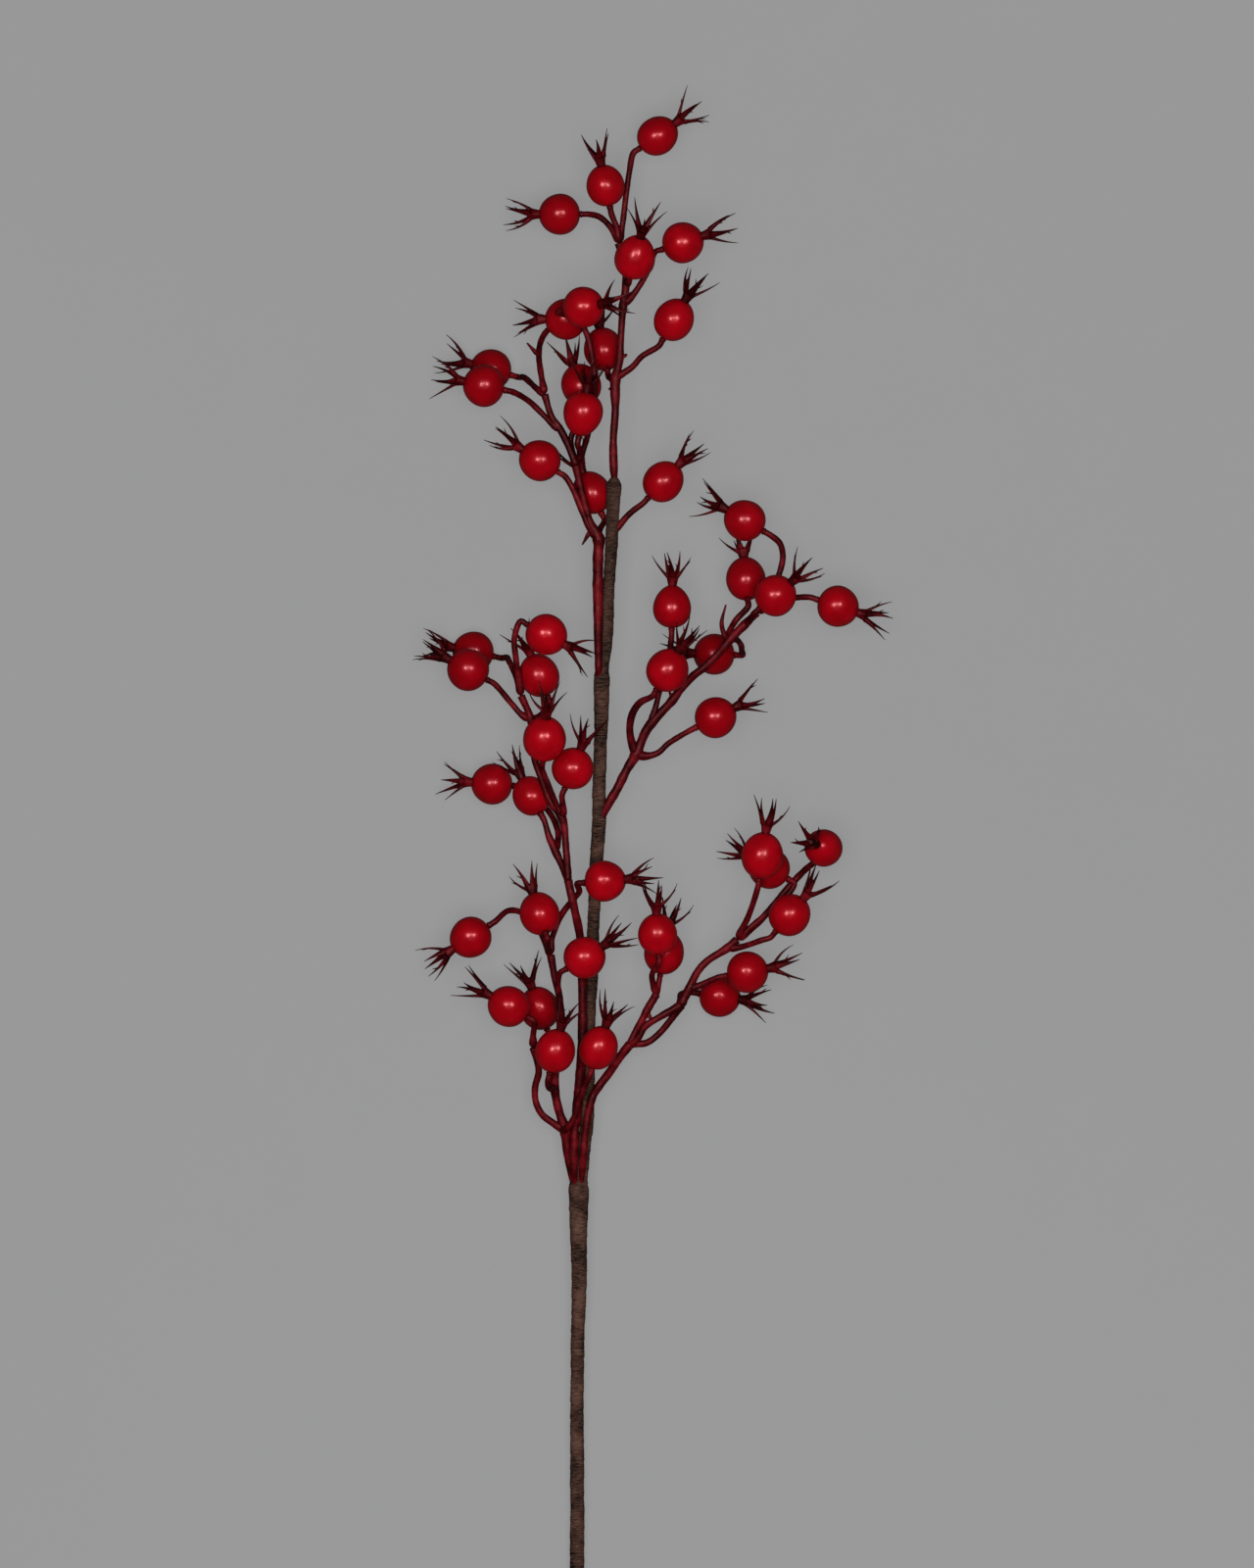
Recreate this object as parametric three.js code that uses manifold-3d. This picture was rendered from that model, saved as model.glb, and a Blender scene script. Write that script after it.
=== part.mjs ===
// A decorative sprig of rose hips, lying on a table: a tape-wrapped stem, six moulded
// branchlets of eight pedicels each, and forty-eight lacquered hips threaded on them.
//
// Millimetres, +Z up. The layout is written with the stem's cut end at y = 0, the stem
// along +Y and the table at z = 0. At the end the group is moved so that its origin is the
// middle of its own footprint.

import * as THREE from "three";
import { mergeVertices } from "three/addons/utils/BufferGeometryUtils.js";
import Module from "manifold-3d";

const wasm = await Module();
wasm.setup();

// Driving sizes
const GAP = 0.3; // clearance between pieces that touch
const SOCKET_GROW = 0.6; // how much wider than a branchlet's foot its socket is, in radius
const PEDICEL = 1.05; // radius of the thinnest stalks
const HIP_WIDE = 14.2;
const HIP_LONG = 16;
const WIDER_ACROSS = 0.6; // the hips that point across the sprig are rounder than those along it
const SHORTER_ACROSS = 1.2;
const PIN = 0.7; // radius of the pin that runs through a hip's bore
const NECK = 1.6; // radius of the calyx neck where it leaves the hip
const RIM = 2.2; // radius of the calyx rim, where the sepals part
const NECK_LONG = 3.4;
const SEPALS = 5;
const SEPAL_LONG = [8, 10.5];
const SEPAL_SPREAD = [16, 44]; // degrees from the hip's axis
const SEPAL_THICK = 0.9;

// Fineness
const SHOOT_SIDES = 5;
const STALK_SIDES = 4;
const STEM_SIDES = 9;
const HIP_SIDES = 9;
const HIP_BANDS = 6;
const SHOOT_STEP = 10; // longest straight stretch of a shoot or stalk
const SOCKET_STEP = 5; // the same for the sockets in the stem
const RING_BEND = 0.8; // bend between two rings, in radians

const HIP_RED = new THREE.MeshStandardMaterial({ color: 0xb80614, roughness: 0.16, metalness: 0 });
const BARK_RED = new THREE.MeshStandardMaterial({ color: 0x4a0f16, roughness: 0.38, metalness: 0 });
const TAPE_BROWN = new THREE.MeshStandardMaterial({ color: 0x4f3b31, roughness: 0.85, metalness: 0 });

// The stem: x, y, z and radius along its middle line. The wide stretches are tape, wound
// over the feet of the branchlets.
const STEM = [
  [-3.85, 0, 2.3, 2.45], [-3.85, 80, 6.4, 2.45], [-3.85, 150, 10.1, 2.2], [-3.5, 168, 11.1, 2.3],
  [-3.15, 185, 12.0, 2.55], [-3.4, 202, 13.0, 3.05], [-3.3, 213, 13.7, 3.5], [-3.3, 216.5, 13.9, 3.5],
  [-2.9, 217.6, 13.95, 2.35], [-1.5, 230, 14.7, 2.3], [-0.4, 238, 15.2, 2.3], [-0.1, 255, 16.3, 2.4],
  [0, 272, 17.5, 2.3], [1.05, 290, 18.7, 2.3], [1.9, 307, 19.9, 2.0], [3.3, 335, 21.7, 2.2],
  [4.0, 346, 22.3, 2.35], [4.1, 360, 23.1, 2.2], [4.55, 377, 24.0, 2.2], [4.9, 388, 24.5, 2.5],
  [4.9, 398, 25.0, 2.8], [5.1, 401, 25.1, 2.1], [6.8, 412, 25.7, 1.9], [7.5, 430, 26.5, 1.9],
  [8.4, 444, 27.1, 2.0], [9.1, 461, 27.9, 2.3], [9.4, 467, 28.1, 2.6], [9.5, 470, 28.2, 2.5],
];

// The branchlets. Each shoot is a row of x, y, z and an optional radius, and the first few
// points of the first one lie in or against the stem. A hip has its centre, the turn of its
// axis from +X, the lift of its calyx end above the horizontal, and the route of its stalk
// from the shoot outwards.
const BRANCHLETS = {
  branchlet_top: {
    footPoints: 4,
    shoots: [
      [[8.7, 450, 27.4, 1.0], [9.1, 461, 27.9, 1.0], [9.5, 468, 28.2, 1.0], [9.3, 472, 28.4, 1.5],
        [9.1, 482.5, 28.5, 1.4], [9.8, 493, 28.5, 1.4], [9.9, 505, 28.5, 1.65],
        [11.2, 510.5, 28.3, 1.3], [11.9, 521, 28, 1.2], [12.6, 531, 27.3, 1.3],
        [13.6, 538.5, 26.5, 1.2], [13, 546, 25.8, 1.15], [11.2, 553.2, 25.2, 1.3]],
    ],
    spurs: [[[11.6, 512, 28.3], [14, 513.4, 28.6]], [[9.9, 500.5, 28.5], [7.4, 501.2, 28.6]]],
    hips: {
      1: { at: [25, 591.9, 22], turn: 35, lift: 5, wide: 13.7,
        stalk: [[11.2, 553.2, 25.2], [12.4, 560, 24.8], [13.6, 570, 24], [14.8, 578.6, 23]] },
      2: { at: [6.3, 573.7, 29], turn: 102, lift: 10, wide: 13.7, long: 15,
        stalk: [[11.2, 553.2, 25.2], [10.4, 558.5, 26.3]] },
      3: { at: [-10.2, 563.9, 20], turn: 180, lift: 0,
        stalk: [[11.2, 553.2, 25.2], [9.6, 556.8, 24.6], [7.2, 560.2, 23.6], [4, 562.9, 22.2]] },
      4: { at: [17, 548, 36], turn: 75, lift: 30, wide: 14.4, long: 16.5, drawn: 0.16,
        stalk: [[13.6, 538.5, 26.5], [13.9, 539.4, 28.6]] },
      5: { at: [34, 553.2, 32], turn: 18, lift: 8,
        stalk: [[12.6, 531, 27.3], [15.2, 533.6, 27], [17.8, 537, 26.8], [21, 542.4, 27.6]] },
      6: { at: [30.8, 525.6, 34], turn: 60, lift: 10, wide: 14,
        stalk: [[9.9, 505, 28.5], [15.8, 508.8, 29.5], [19.3, 512.6, 30.6]] },
      9: { at: [5.6, 515.8, 16.5], turn: 100, lift: -22,
        stalk: [[9.9, 505, 28.5], [8.8, 504.6, 25], [7.8, 505.4, 22.5]] },
      16: { at: [27, 468, 30], turn: 47, lift: 4, wide: 14,
        stalk: [[8.7, 450, 27.4], [11, 452.1, 27.6], [14, 455.6, 28], [16.6, 457.9, 28.8]] },
    },
  },
  branchlet_upper_left: {
    footPoints: 5,
    shoots: [
      [[5.0, 391, 25.3, 0.8], [4.4, 396, 26.0, 0.9], [3.9, 401, 27, 1.3], [3.7, 412.5, 27.7, 1.55],
        [3.6, 430, 28.5, 1.85], [3.7, 442, 28.9, 1.9], [3.85, 447.5, 29, 1.9],
        [1.05, 452.8, 29.6, 1.35], [-1.05, 459.8, 30.4, 1.3],
        [-2.8, 466.8, 31, 1.3], [-4.2, 473.8, 31.2, 1.3]],
      [[-4.2, 473.8, 31.2, 1.25], [-7, 480.8, 31, 1.2], [-9.5, 486, 31, 1.2], [-13, 491.3, 31, 1.15],
        [-15.4, 499, 31, 1.15]],
    ],
    spurs: [[[-17.5, 513, 25], [-21.7, 517.5, 27]], [[1, 450.5, 29.2], [-2, 445.4, 28.8]]],
    hips: {
      7: { at: [-1.4, 529.8, 40], turn: 8, lift: 35, wide: 14.7,
        stalk: [[-3.4, 474.8, 31.4], [-1.4, 480, 30.6], [0.2, 485.5, 28.2], [1.6, 493, 27.6],
          [2.6, 501.5, 31.5], [2, 508.8, 32], [1, 515.5, 31.6], [-1, 522, 31.1],
          [-4.5, 526.5, 30.9], [-8.4, 527.6, 30.9], [-10.6, 528.2, 32.6]] },
      8: { at: [-8, 526.3, 21.5], turn: 180, lift: 0,
        stalk: [[-15.4, 499, 31], [-16.8, 507, 28.6], [-17.5, 513, 25], [-16.8, 518.5, 20],
          [-14, 523, 15], [-8.5, 526.4, 12.4], [-2, 527.6, 12.4], [3.4, 527.2, 14.2],
          [5, 526.6, 18.4]] },
      10: { at: [-35, 508.8, 6.9], turn: 165, lift: 12, rests: true,
        stalk: [[-15.4, 499, 31], [-18.2, 501.2, 26.5], [-20.8, 503.8, 19.5], [-23, 505.8, 12.5]] },
      11: { at: [-37.3, 502.5, 21.5], turn: 168, lift: 3, wide: 15.2,
        stalk: [[-9.5, 486, 31], [-13, 488.9, 30.6], [-16.8, 492.7, 29.6], [-21, 496.7, 27.6]] },
      12: { at: [-2.45, 502.8, 23], turn: 112, lift: -32,
        stalk: [[-4.2, 473.8, 31.2], [-5.6, 479, 30], [-5.8, 484.3, 29]] },
      13: { at: [-1.75, 491.8, 37], turn: 80, lift: -2, wide: 14, drawn: -0.12,
        stalk: [[-3.4, 474.8, 31.4], [-2.4, 478, 33.4]] },
      14: { at: [-17.2, 475.5, 30.5], turn: 148, lift: 2,
        stalk: [[3.85, 447.5, 29, 1.5], [0.2, 452.8, 29.4, 1.35], [-1.9, 457.6, 29.6, 1.3],
          [-4.3, 463.2, 29.8, 1.2], [-6.3, 467.2, 30, 1.1]] },
      15: { at: [1.4, 464.3, 20], turn: 115, lift: -8, wide: 13.6,
        stalk: [[3.85, 447.5, 29], [4, 450.4, 26]] },
    },
  },
  branchlet_right: {
    footPoints: 4,
    shoots: [
      [[3.6, 337, 21.9, 0.8], [4.0, 343, 22.4, 0.9], [5.2, 348.5, 23.2, 1.3], [7, 352.3, 23.8, 1.6],
        [10.5, 358.3, 24.2, 1.6], [14, 365.3, 24.3, 1.6], [17.2, 370.6, 24.4, 1.8], [21, 379.3, 25, 1.5],
        [25.2, 384.5, 25.6, 1.5], [29.8, 389.4, 26.2, 1.45], [33.3, 394, 26.8, 1.4],
        [37.5, 398.5, 27.4, 1.4], [42, 402, 28, 1.4], [47.3, 407.3, 28.6, 1.4],
        [51.2, 412, 29, 1.4], [56, 416.9, 29.2, 1.35], [60.4, 421.2, 28.9, 1.25]],
    ],
    spurs: [[[30.8, 389, 26.4], [29, 393.4, 27]], [[49.6, 411, 29], [47.8, 417, 30], [49.3, 424, 31]]],
    hips: {
      17: { at: [56, 454.2, 28], turn: 150, lift: 0,
        stalk: [[60.4, 421.2, 28.9], [63.4, 425.4, 26.6], [66.4, 430.5, 25.4], [68.8, 436.3, 25.4],
          [69.7, 441.5, 26], [68.6, 446, 27]] },
      18: { at: [56.5, 433.5, 21], turn: 95, lift: -25,
        stalk: [[49, 409.6, 28.8], [50.6, 414.5, 27], [53, 418.6, 24.6]] },
      19: { at: [67, 427.2, 39], turn: 40, lift: 15, wide: 14.8, long: 15,
        stalk: [[56, 416.9, 29.2], [57.6, 418.2, 31.4]] },
      20: { at: [89.4, 423.4, 30], turn: -18, lift: 0,
        stalk: [[60.4, 421.2, 28.9], [67, 424.2, 28], [73, 426.3, 28.6]] },
      21: { at: [30.1, 423.4, 28], turn: 89, lift: 0, wide: 13.6, long: 15.4, drawn: 0.12,
        stalk: [[22.4, 381.5, 25.2], [24.2, 387.3, 25], [25.6, 393, 24.6], [28, 400.5, 24.8]] },
      22: { at: [28.5, 400.6, 37], turn: 60, lift: 12, wide: 15,
        stalk: [[17.2, 370.6, 24.4, 1.3], [15.4, 376, 26, 1.3], [15, 380.3, 27.6, 1.3],
          [16, 385.2, 29.8, 1.3], [18.6, 389, 32, 1.25]] },
      23: { at: [45.2, 406.6, 6.9], turn: 178, lift: 12, rests: true,
        stalk: [[51.2, 412, 29], [53.2, 411.6, 23.5], [54.8, 409.8, 17], [55.2, 407.8, 10.5]] },
      24: { at: [45.7, 383.8, 28], turn: 27, lift: 3,
        stalk: [[17.2, 370.6, 24.4, 1.4], [21, 370, 24.6, 1.2], [25.2, 371.2, 25], [28.7, 374.4, 25.6]] },
    },
  },
  branchlet_mid_left: {
    footPoints: 5,
    shoots: [
      [[-4.3, 209.5, 15.1, 0.8], [-4.5, 216.5, 15.9, 0.8], [-5, 221, 17.3, 1.2],
        [-5, 228, 18.2, 1.5], [-4.6, 235.8, 18.8, 1.5], [-3.9, 243, 19.1, 1.75],
        [-2.8, 255, 20.3, 1.8], [-2, 269, 21.5, 1.7], [-1.9, 283, 22.6, 1.55],
        [-2.4, 300, 23.6, 1.5], [-3, 306.8, 25.5, 1.5],
        [-4.6, 314.5, 28, 1.5], [-6, 320.8, 28.8, 1.5], [-7, 325.5, 27.5, 1.55]],
      [[-7, 325.5, 27.5, 1.35], [-7.7, 335.5, 26.4, 1.25], [-9.3, 348, 26.2, 1.35],
        [-13.3, 353.4, 26.4, 1.3], [-16.5, 361.8, 26.4, 1.25], [-19, 369, 25.8, 1.2],
        [-20.3, 382.8, 26, 1.25], [-23.8, 391.5, 26.8, 1.15]],
      [[-7, 325.5, 27.5, 1.35], [-9.1, 330.5, 25.2, 1.2], [-11.6, 336, 23.4, 1.2],
        [-14, 341.5, 23, 1.2]],
    ],
    spurs: [],
    hips: {
      25: { at: [-41.3, 407.4, 6.9], turn: 168, lift: 12, rests: true,
        stalk: [[-23.8, 391.5, 26.8], [-25.2, 397, 25.5], [-27, 401.5, 21], [-28.4, 404.2, 14],
          [-29.2, 405.4, 8]] },
      26: { at: [-42.9, 400.9, 22.5], turn: 152, lift: 4, wide: 15.2,
        stalk: [[-20.3, 382.8, 26], [-23.8, 384.9, 26], [-27.3, 388.8, 25.2]] },
      27: { at: [-14.7, 413.2, 35], turn: -28, lift: 8, wide: 14.7,
        stalk: [[-23.8, 391.5, 26.8], [-24.8, 398.5, 29], [-25.8, 406, 31.2], [-26.2, 412, 32.4]] },
      28: { at: [-17.5, 398.9, 22], turn: 112, lift: 4,
        stalk: [[-20.3, 382.8, 26], [-17.8, 383.8, 24]] },
      29: { at: [-15.4, 376.1, 37], turn: 85, lift: 22, wide: 15.4, long: 16.5,
        stalk: [[-9.3, 348, 26.2], [-11.2, 352.5, 27.4], [-13.8, 359, 29.6]] },
      30: { at: [-5.3, 365.6, 31], turn: 68, lift: 5, wide: 15, long: 15,
        stalk: [[-9.3, 348, 26.2], [-8.7, 350.6, 28]] },
      31: { at: [-34.5, 360, 11], turn: 175, lift: 6,
        stalk: [[-11.6, 336, 23.4], [-10.6, 341.5, 18], [-12.4, 347.5, 12.4], [-16.6, 353, 8.6]] },
      32: { at: [-20.3, 355.8, 20], turn: 118, lift: -15, wide: 13.4, long: 14.6,
        stalk: [[-12.4, 337.8, 23.2], [-14, 341.5, 23]] },
    },
  },
  branchlet_low_left: {
    footPoints: 4,
    shoots: [
      [[-5.3, 209.5, 13.2, 0.8], [-5.5, 216.5, 13.7, 0.8], [-6.2, 221, 14, 1.3],
        [-7.35, 228.8, 14.6, 1.7], [-8, 235.8, 15.2, 1.8], [-9.8, 241, 15.8, 1.5],
        [-11.2, 246.3, 16.4, 1.45], [-11.9, 251.5, 17, 1.4],
        [-11.6, 257, 17.6, 1.4], [-10.8, 266, 18.6, 1.35], [-9.7, 276, 19.4, 1.35],
        [-10.4, 284.8, 20, 1.3], [-11.9, 291, 20.2, 1.25], [-13.3, 298.8, 20.4, 1.25]],
      [[-8, 235.8, 15.2, 1.4], [-12.6, 238.6, 15.4, 1.25], [-16.5, 241.7, 15.8, 1.2],
        [-18.7, 246.3, 16.2, 1.15], [-18.9, 251.5, 16.8, 1.15], [-17.6, 256.8, 17.6, 1.15],
        [-18.2, 260.5, 18.4, 1.1], [-19.6, 265.5, 20, 1.1]],
    ],
    spurs: [[[-11.8, 251.5, 17], [-15.2, 252.2, 17.6]]],
    hips: {
      33: { at: [6.3, 325.4, 34], turn: 5, lift: 12, wide: 14.7, drawn: 0.1,
        stalk: [[-13.3, 298.8, 20.4], [-13, 304, 20.4], [-11.2, 309.3, 21], [-9.3, 313.4, 21.8],
          [-7, 316.6, 22.8], [-4.6, 319.4, 24.8], [-3, 321.8, 28.4]] },
      34: { at: [-17.3, 313.8, 27], turn: 108, lift: -28,
        stalk: [[-13.3, 298.8, 20.4], [-14.2, 300.6, 23.6]] },
      35: { at: [-42, 305.1, 24], turn: 213, lift: 2,
        stalk: [[-13.3, 298.8, 20.4], [-15.4, 303.6, 18.6], [-18.6, 309.4, 16.8], [-23.8, 314, 18],
          [-28.6, 314.6, 20.6]] },
      36: { at: [-1.05, 298.2, 35.5], turn: 32, lift: 10, wide: 15,
        stalk: [[-9.7, 276, 19.4], [-9.8, 281.6, 22.4], [-10.6, 286.4, 27.4]] },
      37: { at: [-28.4, 280.6, 26], turn: 150, lift: 3,
        stalk: [[-19.6, 265.5, 20], [-19.6, 269.8, 22.4]] },
      38: { at: [-17.5, 279.5, 6.6], turn: 110, lift: 12, rests: true,
        stalk: [[-10.8, 266, 18.6], [-12, 265.6, 14]] },
      39: { at: [-11.6, 264.8, 33], turn: 76, lift: 6,
        stalk: [[-11.9, 251.5, 17], [-13, 251, 21.5], [-14, 251.6, 26.4]] },
      40: { at: [3.9, 265.9, 31.5], turn: 72, lift: 5, wide: 13.7,
        stalk: [[-8, 235.8, 15.2], [-8.6, 236.2, 18.8], [-6.8, 237.8, 22.2], [-4.6, 241.5, 23.8],
          [-2.9, 248, 25.4]] },
    },
  },
  branchlet_low_right: {
    footPoints: 5,
    shoots: [
      [[-2.4, 209.5, 15.1, 0.8], [-2.4, 216.5, 15.7, 0.8], [-2.1, 221, 17.1, 1.1],
        [-1.6, 227, 18.7, 1.35], [-0.9, 235.8, 19.4, 1.4], [0.3, 242.8, 19.8, 1.4],
        [1.8, 248.4, 20, 1.45], [4.2, 252.2, 20.2, 1.5],
        [7.7, 256.8, 20.4, 1.5], [11.2, 262, 20.8, 1.5], [15.05, 266.9, 21.2, 1.7]],
      [[15.05, 266.9, 21.2, 1.3], [16.8, 270.8, 21.6, 1.2], [19.6, 276, 21.8, 1.2],
        [22, 280.6, 22, 1.2], [24.5, 284.8, 22.2, 1.25]],
      [[15.05, 266.9, 21.2, 1.3], [17.8, 268.8, 22.6, 1.2], [20.4, 273.2, 23.2, 1.2],
        [25.2, 276.4, 23.4, 1.2], [33.3, 280.9, 22.6, 1.35]],
      [[15.05, 266.9, 21.2, 1.3], [21, 267.4, 20.4, 1.2], [25.4, 270.6, 20.2, 1.2],
        [30.2, 276.4, 21.2, 1.2], [33.3, 280.9, 22.6, 1.35]],
      [[33.3, 280.9, 22.6, 1.35], [36.1, 286.5, 22.8, 1.35], [39.2, 292.8, 23.2, 1.3],
        [42.7, 296.7, 23.4, 1.3], [49.7, 301.2, 23.8, 1.25], [53.4, 304.4, 24, 1.25]],
    ],
    spurs: [[[21, 278.6, 21.9], [23.2, 275, 23.4]]],
    hips: {
      41: { at: [24.9, 306.5, 37], turn: 93, lift: 8, wide: 14, long: 15,
        stalk: [[24.5, 284.8, 22.2], [23.4, 288.4, 24.6], [22.9, 291.6, 29], [24, 294.2, 33.2]] },
      42: { at: [27.3, 299.8, 22], turn: 80, lift: -4,
        stalk: [[22, 280.6, 22], [24.5, 284.8, 22.2]] },
      43: { at: [62.3, 334.5, 35], turn: 82, lift: 6, wide: 15, long: 16.8,
        stalk: [[53.4, 304.4, 24], [55.2, 308.2, 25.2], [57.4, 312.8, 27.4]] },
      44: { at: [64.8, 329.9, 20], turn: 150, lift: 0,
        stalk: [[53.4, 304.4, 24], [57.8, 308.4, 23.6], [62.3, 312.2, 22.8], [68, 317.6, 21.4],
          [72.4, 321.4, 20.6]] },
      45: { at: [84.1, 337.2, 28], turn: 155, lift: 65, wide: 13.4, long: 15.6,
        stalk: [[53.4, 304.4, 24, 1.25], [60, 309.5, 21.4, 1.2], [66, 316, 19.6, 1.2],
          [71, 322, 19, 1.2], [75.5, 327, 17.6, 1.2], [80, 331, 14, 1.15],
          [84.6, 333.6, 12], [87.6, 334.6, 13.6]] },
      46: { at: [72.1, 313.3, 31], turn: 50, lift: 12, wide: 14.7,
        stalk: [[49.7, 301.2, 23.8], [54, 301.6, 25], [58.5, 302.9, 27], [62, 304.2, 28.8]] },
      47: { at: [57.1, 292.8, 26], turn: 10, lift: 3, wide: 15,
        stalk: [[36.1, 286.5, 22.8], [39.6, 287.8, 23.4]] },
      48: { at: [47.4, 283.7, 6.9], turn: -8, lift: 12, rests: true,
        stalk: [[33.3, 280.9, 22.6], [33, 282.4, 17.5], [33.4, 284.6, 12]] },
    },
  },
};

// A closed geometry as a solid, with its shared vertices merged and collapsed faces dropped.
function toSolid(geometry) {
  const plain = geometry.clone();
  plain.deleteAttribute("normal");
  plain.deleteAttribute("uv");
  const merged = mergeVertices(plain, 1e-4);
  const index = merged.index.array;
  const faces = [];
  for (let i = 0; i < index.length; i += 3) {
    const [a, b, c] = [index[i], index[i + 1], index[i + 2]];
    if (a !== b && b !== c && c !== a) faces.push(a, b, c);
  }
  return new wasm.Manifold(new wasm.Mesh({
    numProp: 3,
    vertProperties: new Float32Array(merged.attributes.position.array),
    triVerts: new Uint32Array(faces),
  }));
}

function toGeometry(solid) {
  const mesh = solid.getMesh();
  const geometry = new THREE.BufferGeometry();
  geometry.setAttribute("position", new THREE.BufferAttribute(new Float32Array(mesh.vertProperties), 3));
  geometry.setIndex(new THREE.BufferAttribute(new Uint32Array(mesh.triVerts), 1));
  geometry.computeVertexNormals();
  return geometry;
}

const fuse = (solids) => wasm.Manifold.union(solids);

const vector = (point) => new THREE.Vector3(point[0], point[1], point[2]);

// A tapering rod along a smooth curve through the route's points. A cylinder is bent along
// the curve, and its section is carried from ring to ring without twisting. There is a ring
// for each step of length or each set angle of bend, whichever asks for more, or one at
// each point of the route where "exact" is set.
function rod(route, { sides = SHOOT_SIDES, step = SHOOT_STEP, grow = 0, exact = false } = {}) {
  const places = route.map(vector);
  const radii = route.map((point) => (point[3] ?? PEDICEL) + grow);
  const curve = new THREE.CatmullRomCurve3(places, false, "centripetal");
  const spans = places.length - 1;
  const bends = [];
  for (let i = 1; i < spans; i += 1) {
    const before = places[i].clone().sub(places[i - 1]);
    bends.push(before.angleTo(places[i + 1].clone().sub(places[i])));
  }
  const bend = bends.reduce((sum, angle) => sum + angle, 0);
  const parts = exact ? spans : Math.ceil(Math.max(curve.getLength() / step, bend / RING_BEND));

  let across = new THREE.Vector3(1, 0, 0);
  const rings = [];
  for (let i = 0; i <= parts; i += 1) {
    const share = exact ? i / parts : curve.getUtoTmapping(i / parts);
    const along = curve.getTangent(share);
    const stop = share * spans;
    const low = Math.min(Math.floor(stop), spans - 1);
    across = across.clone().addScaledVector(along, -across.dot(along)).normalize();
    rings.push({
      middle: curve.getPoint(share),
      across,
      beside: new THREE.Vector3().crossVectors(along, across),
      radius: THREE.MathUtils.lerp(radii[low], radii[low + 1], stop - low),
    });
  }

  const geometry = new THREE.CylinderGeometry(1, 1, parts, sides, parts);
  const spots = geometry.attributes.position;
  for (let i = 0; i < spots.count; i += 1) {
    const ring = rings[Math.round(spots.getY(i) + parts / 2)];
    const spot = ring.middle.clone();
    spot.addScaledVector(ring.across, spots.getZ(i) * ring.radius);
    spot.addScaledVector(ring.beside, spots.getX(i) * ring.radius);
    spots.setXYZ(i, spot.x, spot.y, spot.z);
  }
  return toSolid(geometry);
}

// A spur or thorn: a short rod that runs to a point.
function spur(route) {
  const tapered = route.map((point, i) => [...point, i === route.length - 1 ? 0.3 : 0.8]);
  return rod(tapered, { sides: 3 });
}

// The way a hip's axis points, from its stalk to its calyx.
function axisOf(hip) {
  const turn = THREE.MathUtils.degToRad(hip.turn);
  const lift = THREE.MathUtils.degToRad(hip.lift);
  return new THREE.Vector3(Math.cos(lift) * Math.cos(turn), Math.cos(lift) * Math.sin(turn), Math.sin(lift));
}

// How far a hip points across the sprig: 0 along it and 1 straight across.
const acrossOf = (hip) => Math.cos(THREE.MathUtils.degToRad(hip.turn)) ** 2;

const halfOf = (hip) => (hip.long ?? HIP_LONG - SHORTER_ACROSS * acrossOf(hip)) / 2;

const radiusOf = (hip) => (hip.wide ?? HIP_WIDE + WIDER_ACROSS * acrossOf(hip)) / 2;

// A hip lies along its own +Y before it is placed.
function place(object, hip) {
  object.position.copy(vector(hip.at));
  object.quaternion.setFromUnitVectors(new THREE.Vector3(0, 1, 0), axisOf(hip));
  object.updateMatrix();
  return object;
}

// A hip's body: an ovoid with a bore along its axis, wider at the calyx. "drawn" narrows
// the body towards the calyx, or towards the stalk where it is negative.
function hipGeometry(hip) {
  const half = halfOf(hip);
  const wide = radiusOf(hip);
  const drawn = hip.drawn ?? 0.04;
  const stalkEnd = Math.asin((PIN + GAP) / wide);
  const calyxEnd = Math.PI - Math.asin((NECK + GAP) / wide);
  const profile = [];
  for (let band = 0; band <= HIP_BANDS; band += 1) {
    const angle = THREE.MathUtils.lerp(stalkEnd, calyxEnd, band / HIP_BANDS);
    const height = -Math.cos(angle);
    const ends = band === 0 || band === HIP_BANDS;
    const taper = ends ? 1 : 1 - drawn * height;
    profile.push(new THREE.Vector2(wide * Math.sin(angle) * taper, half * height));
  }
  profile.push(profile[0].clone());
  return new THREE.LatheGeometry(profile, HIP_SIDES);
}

// The same small draws for the same hip each time.
function draws(seed) {
  let state = (seed * 2654435761) % 4294967296;
  return (low, high) => {
    state = (state * 1664525 + 1013904223) % 4294967296;
    return low + ((high - low) * state) / 4294967296;
  };
}

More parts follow.
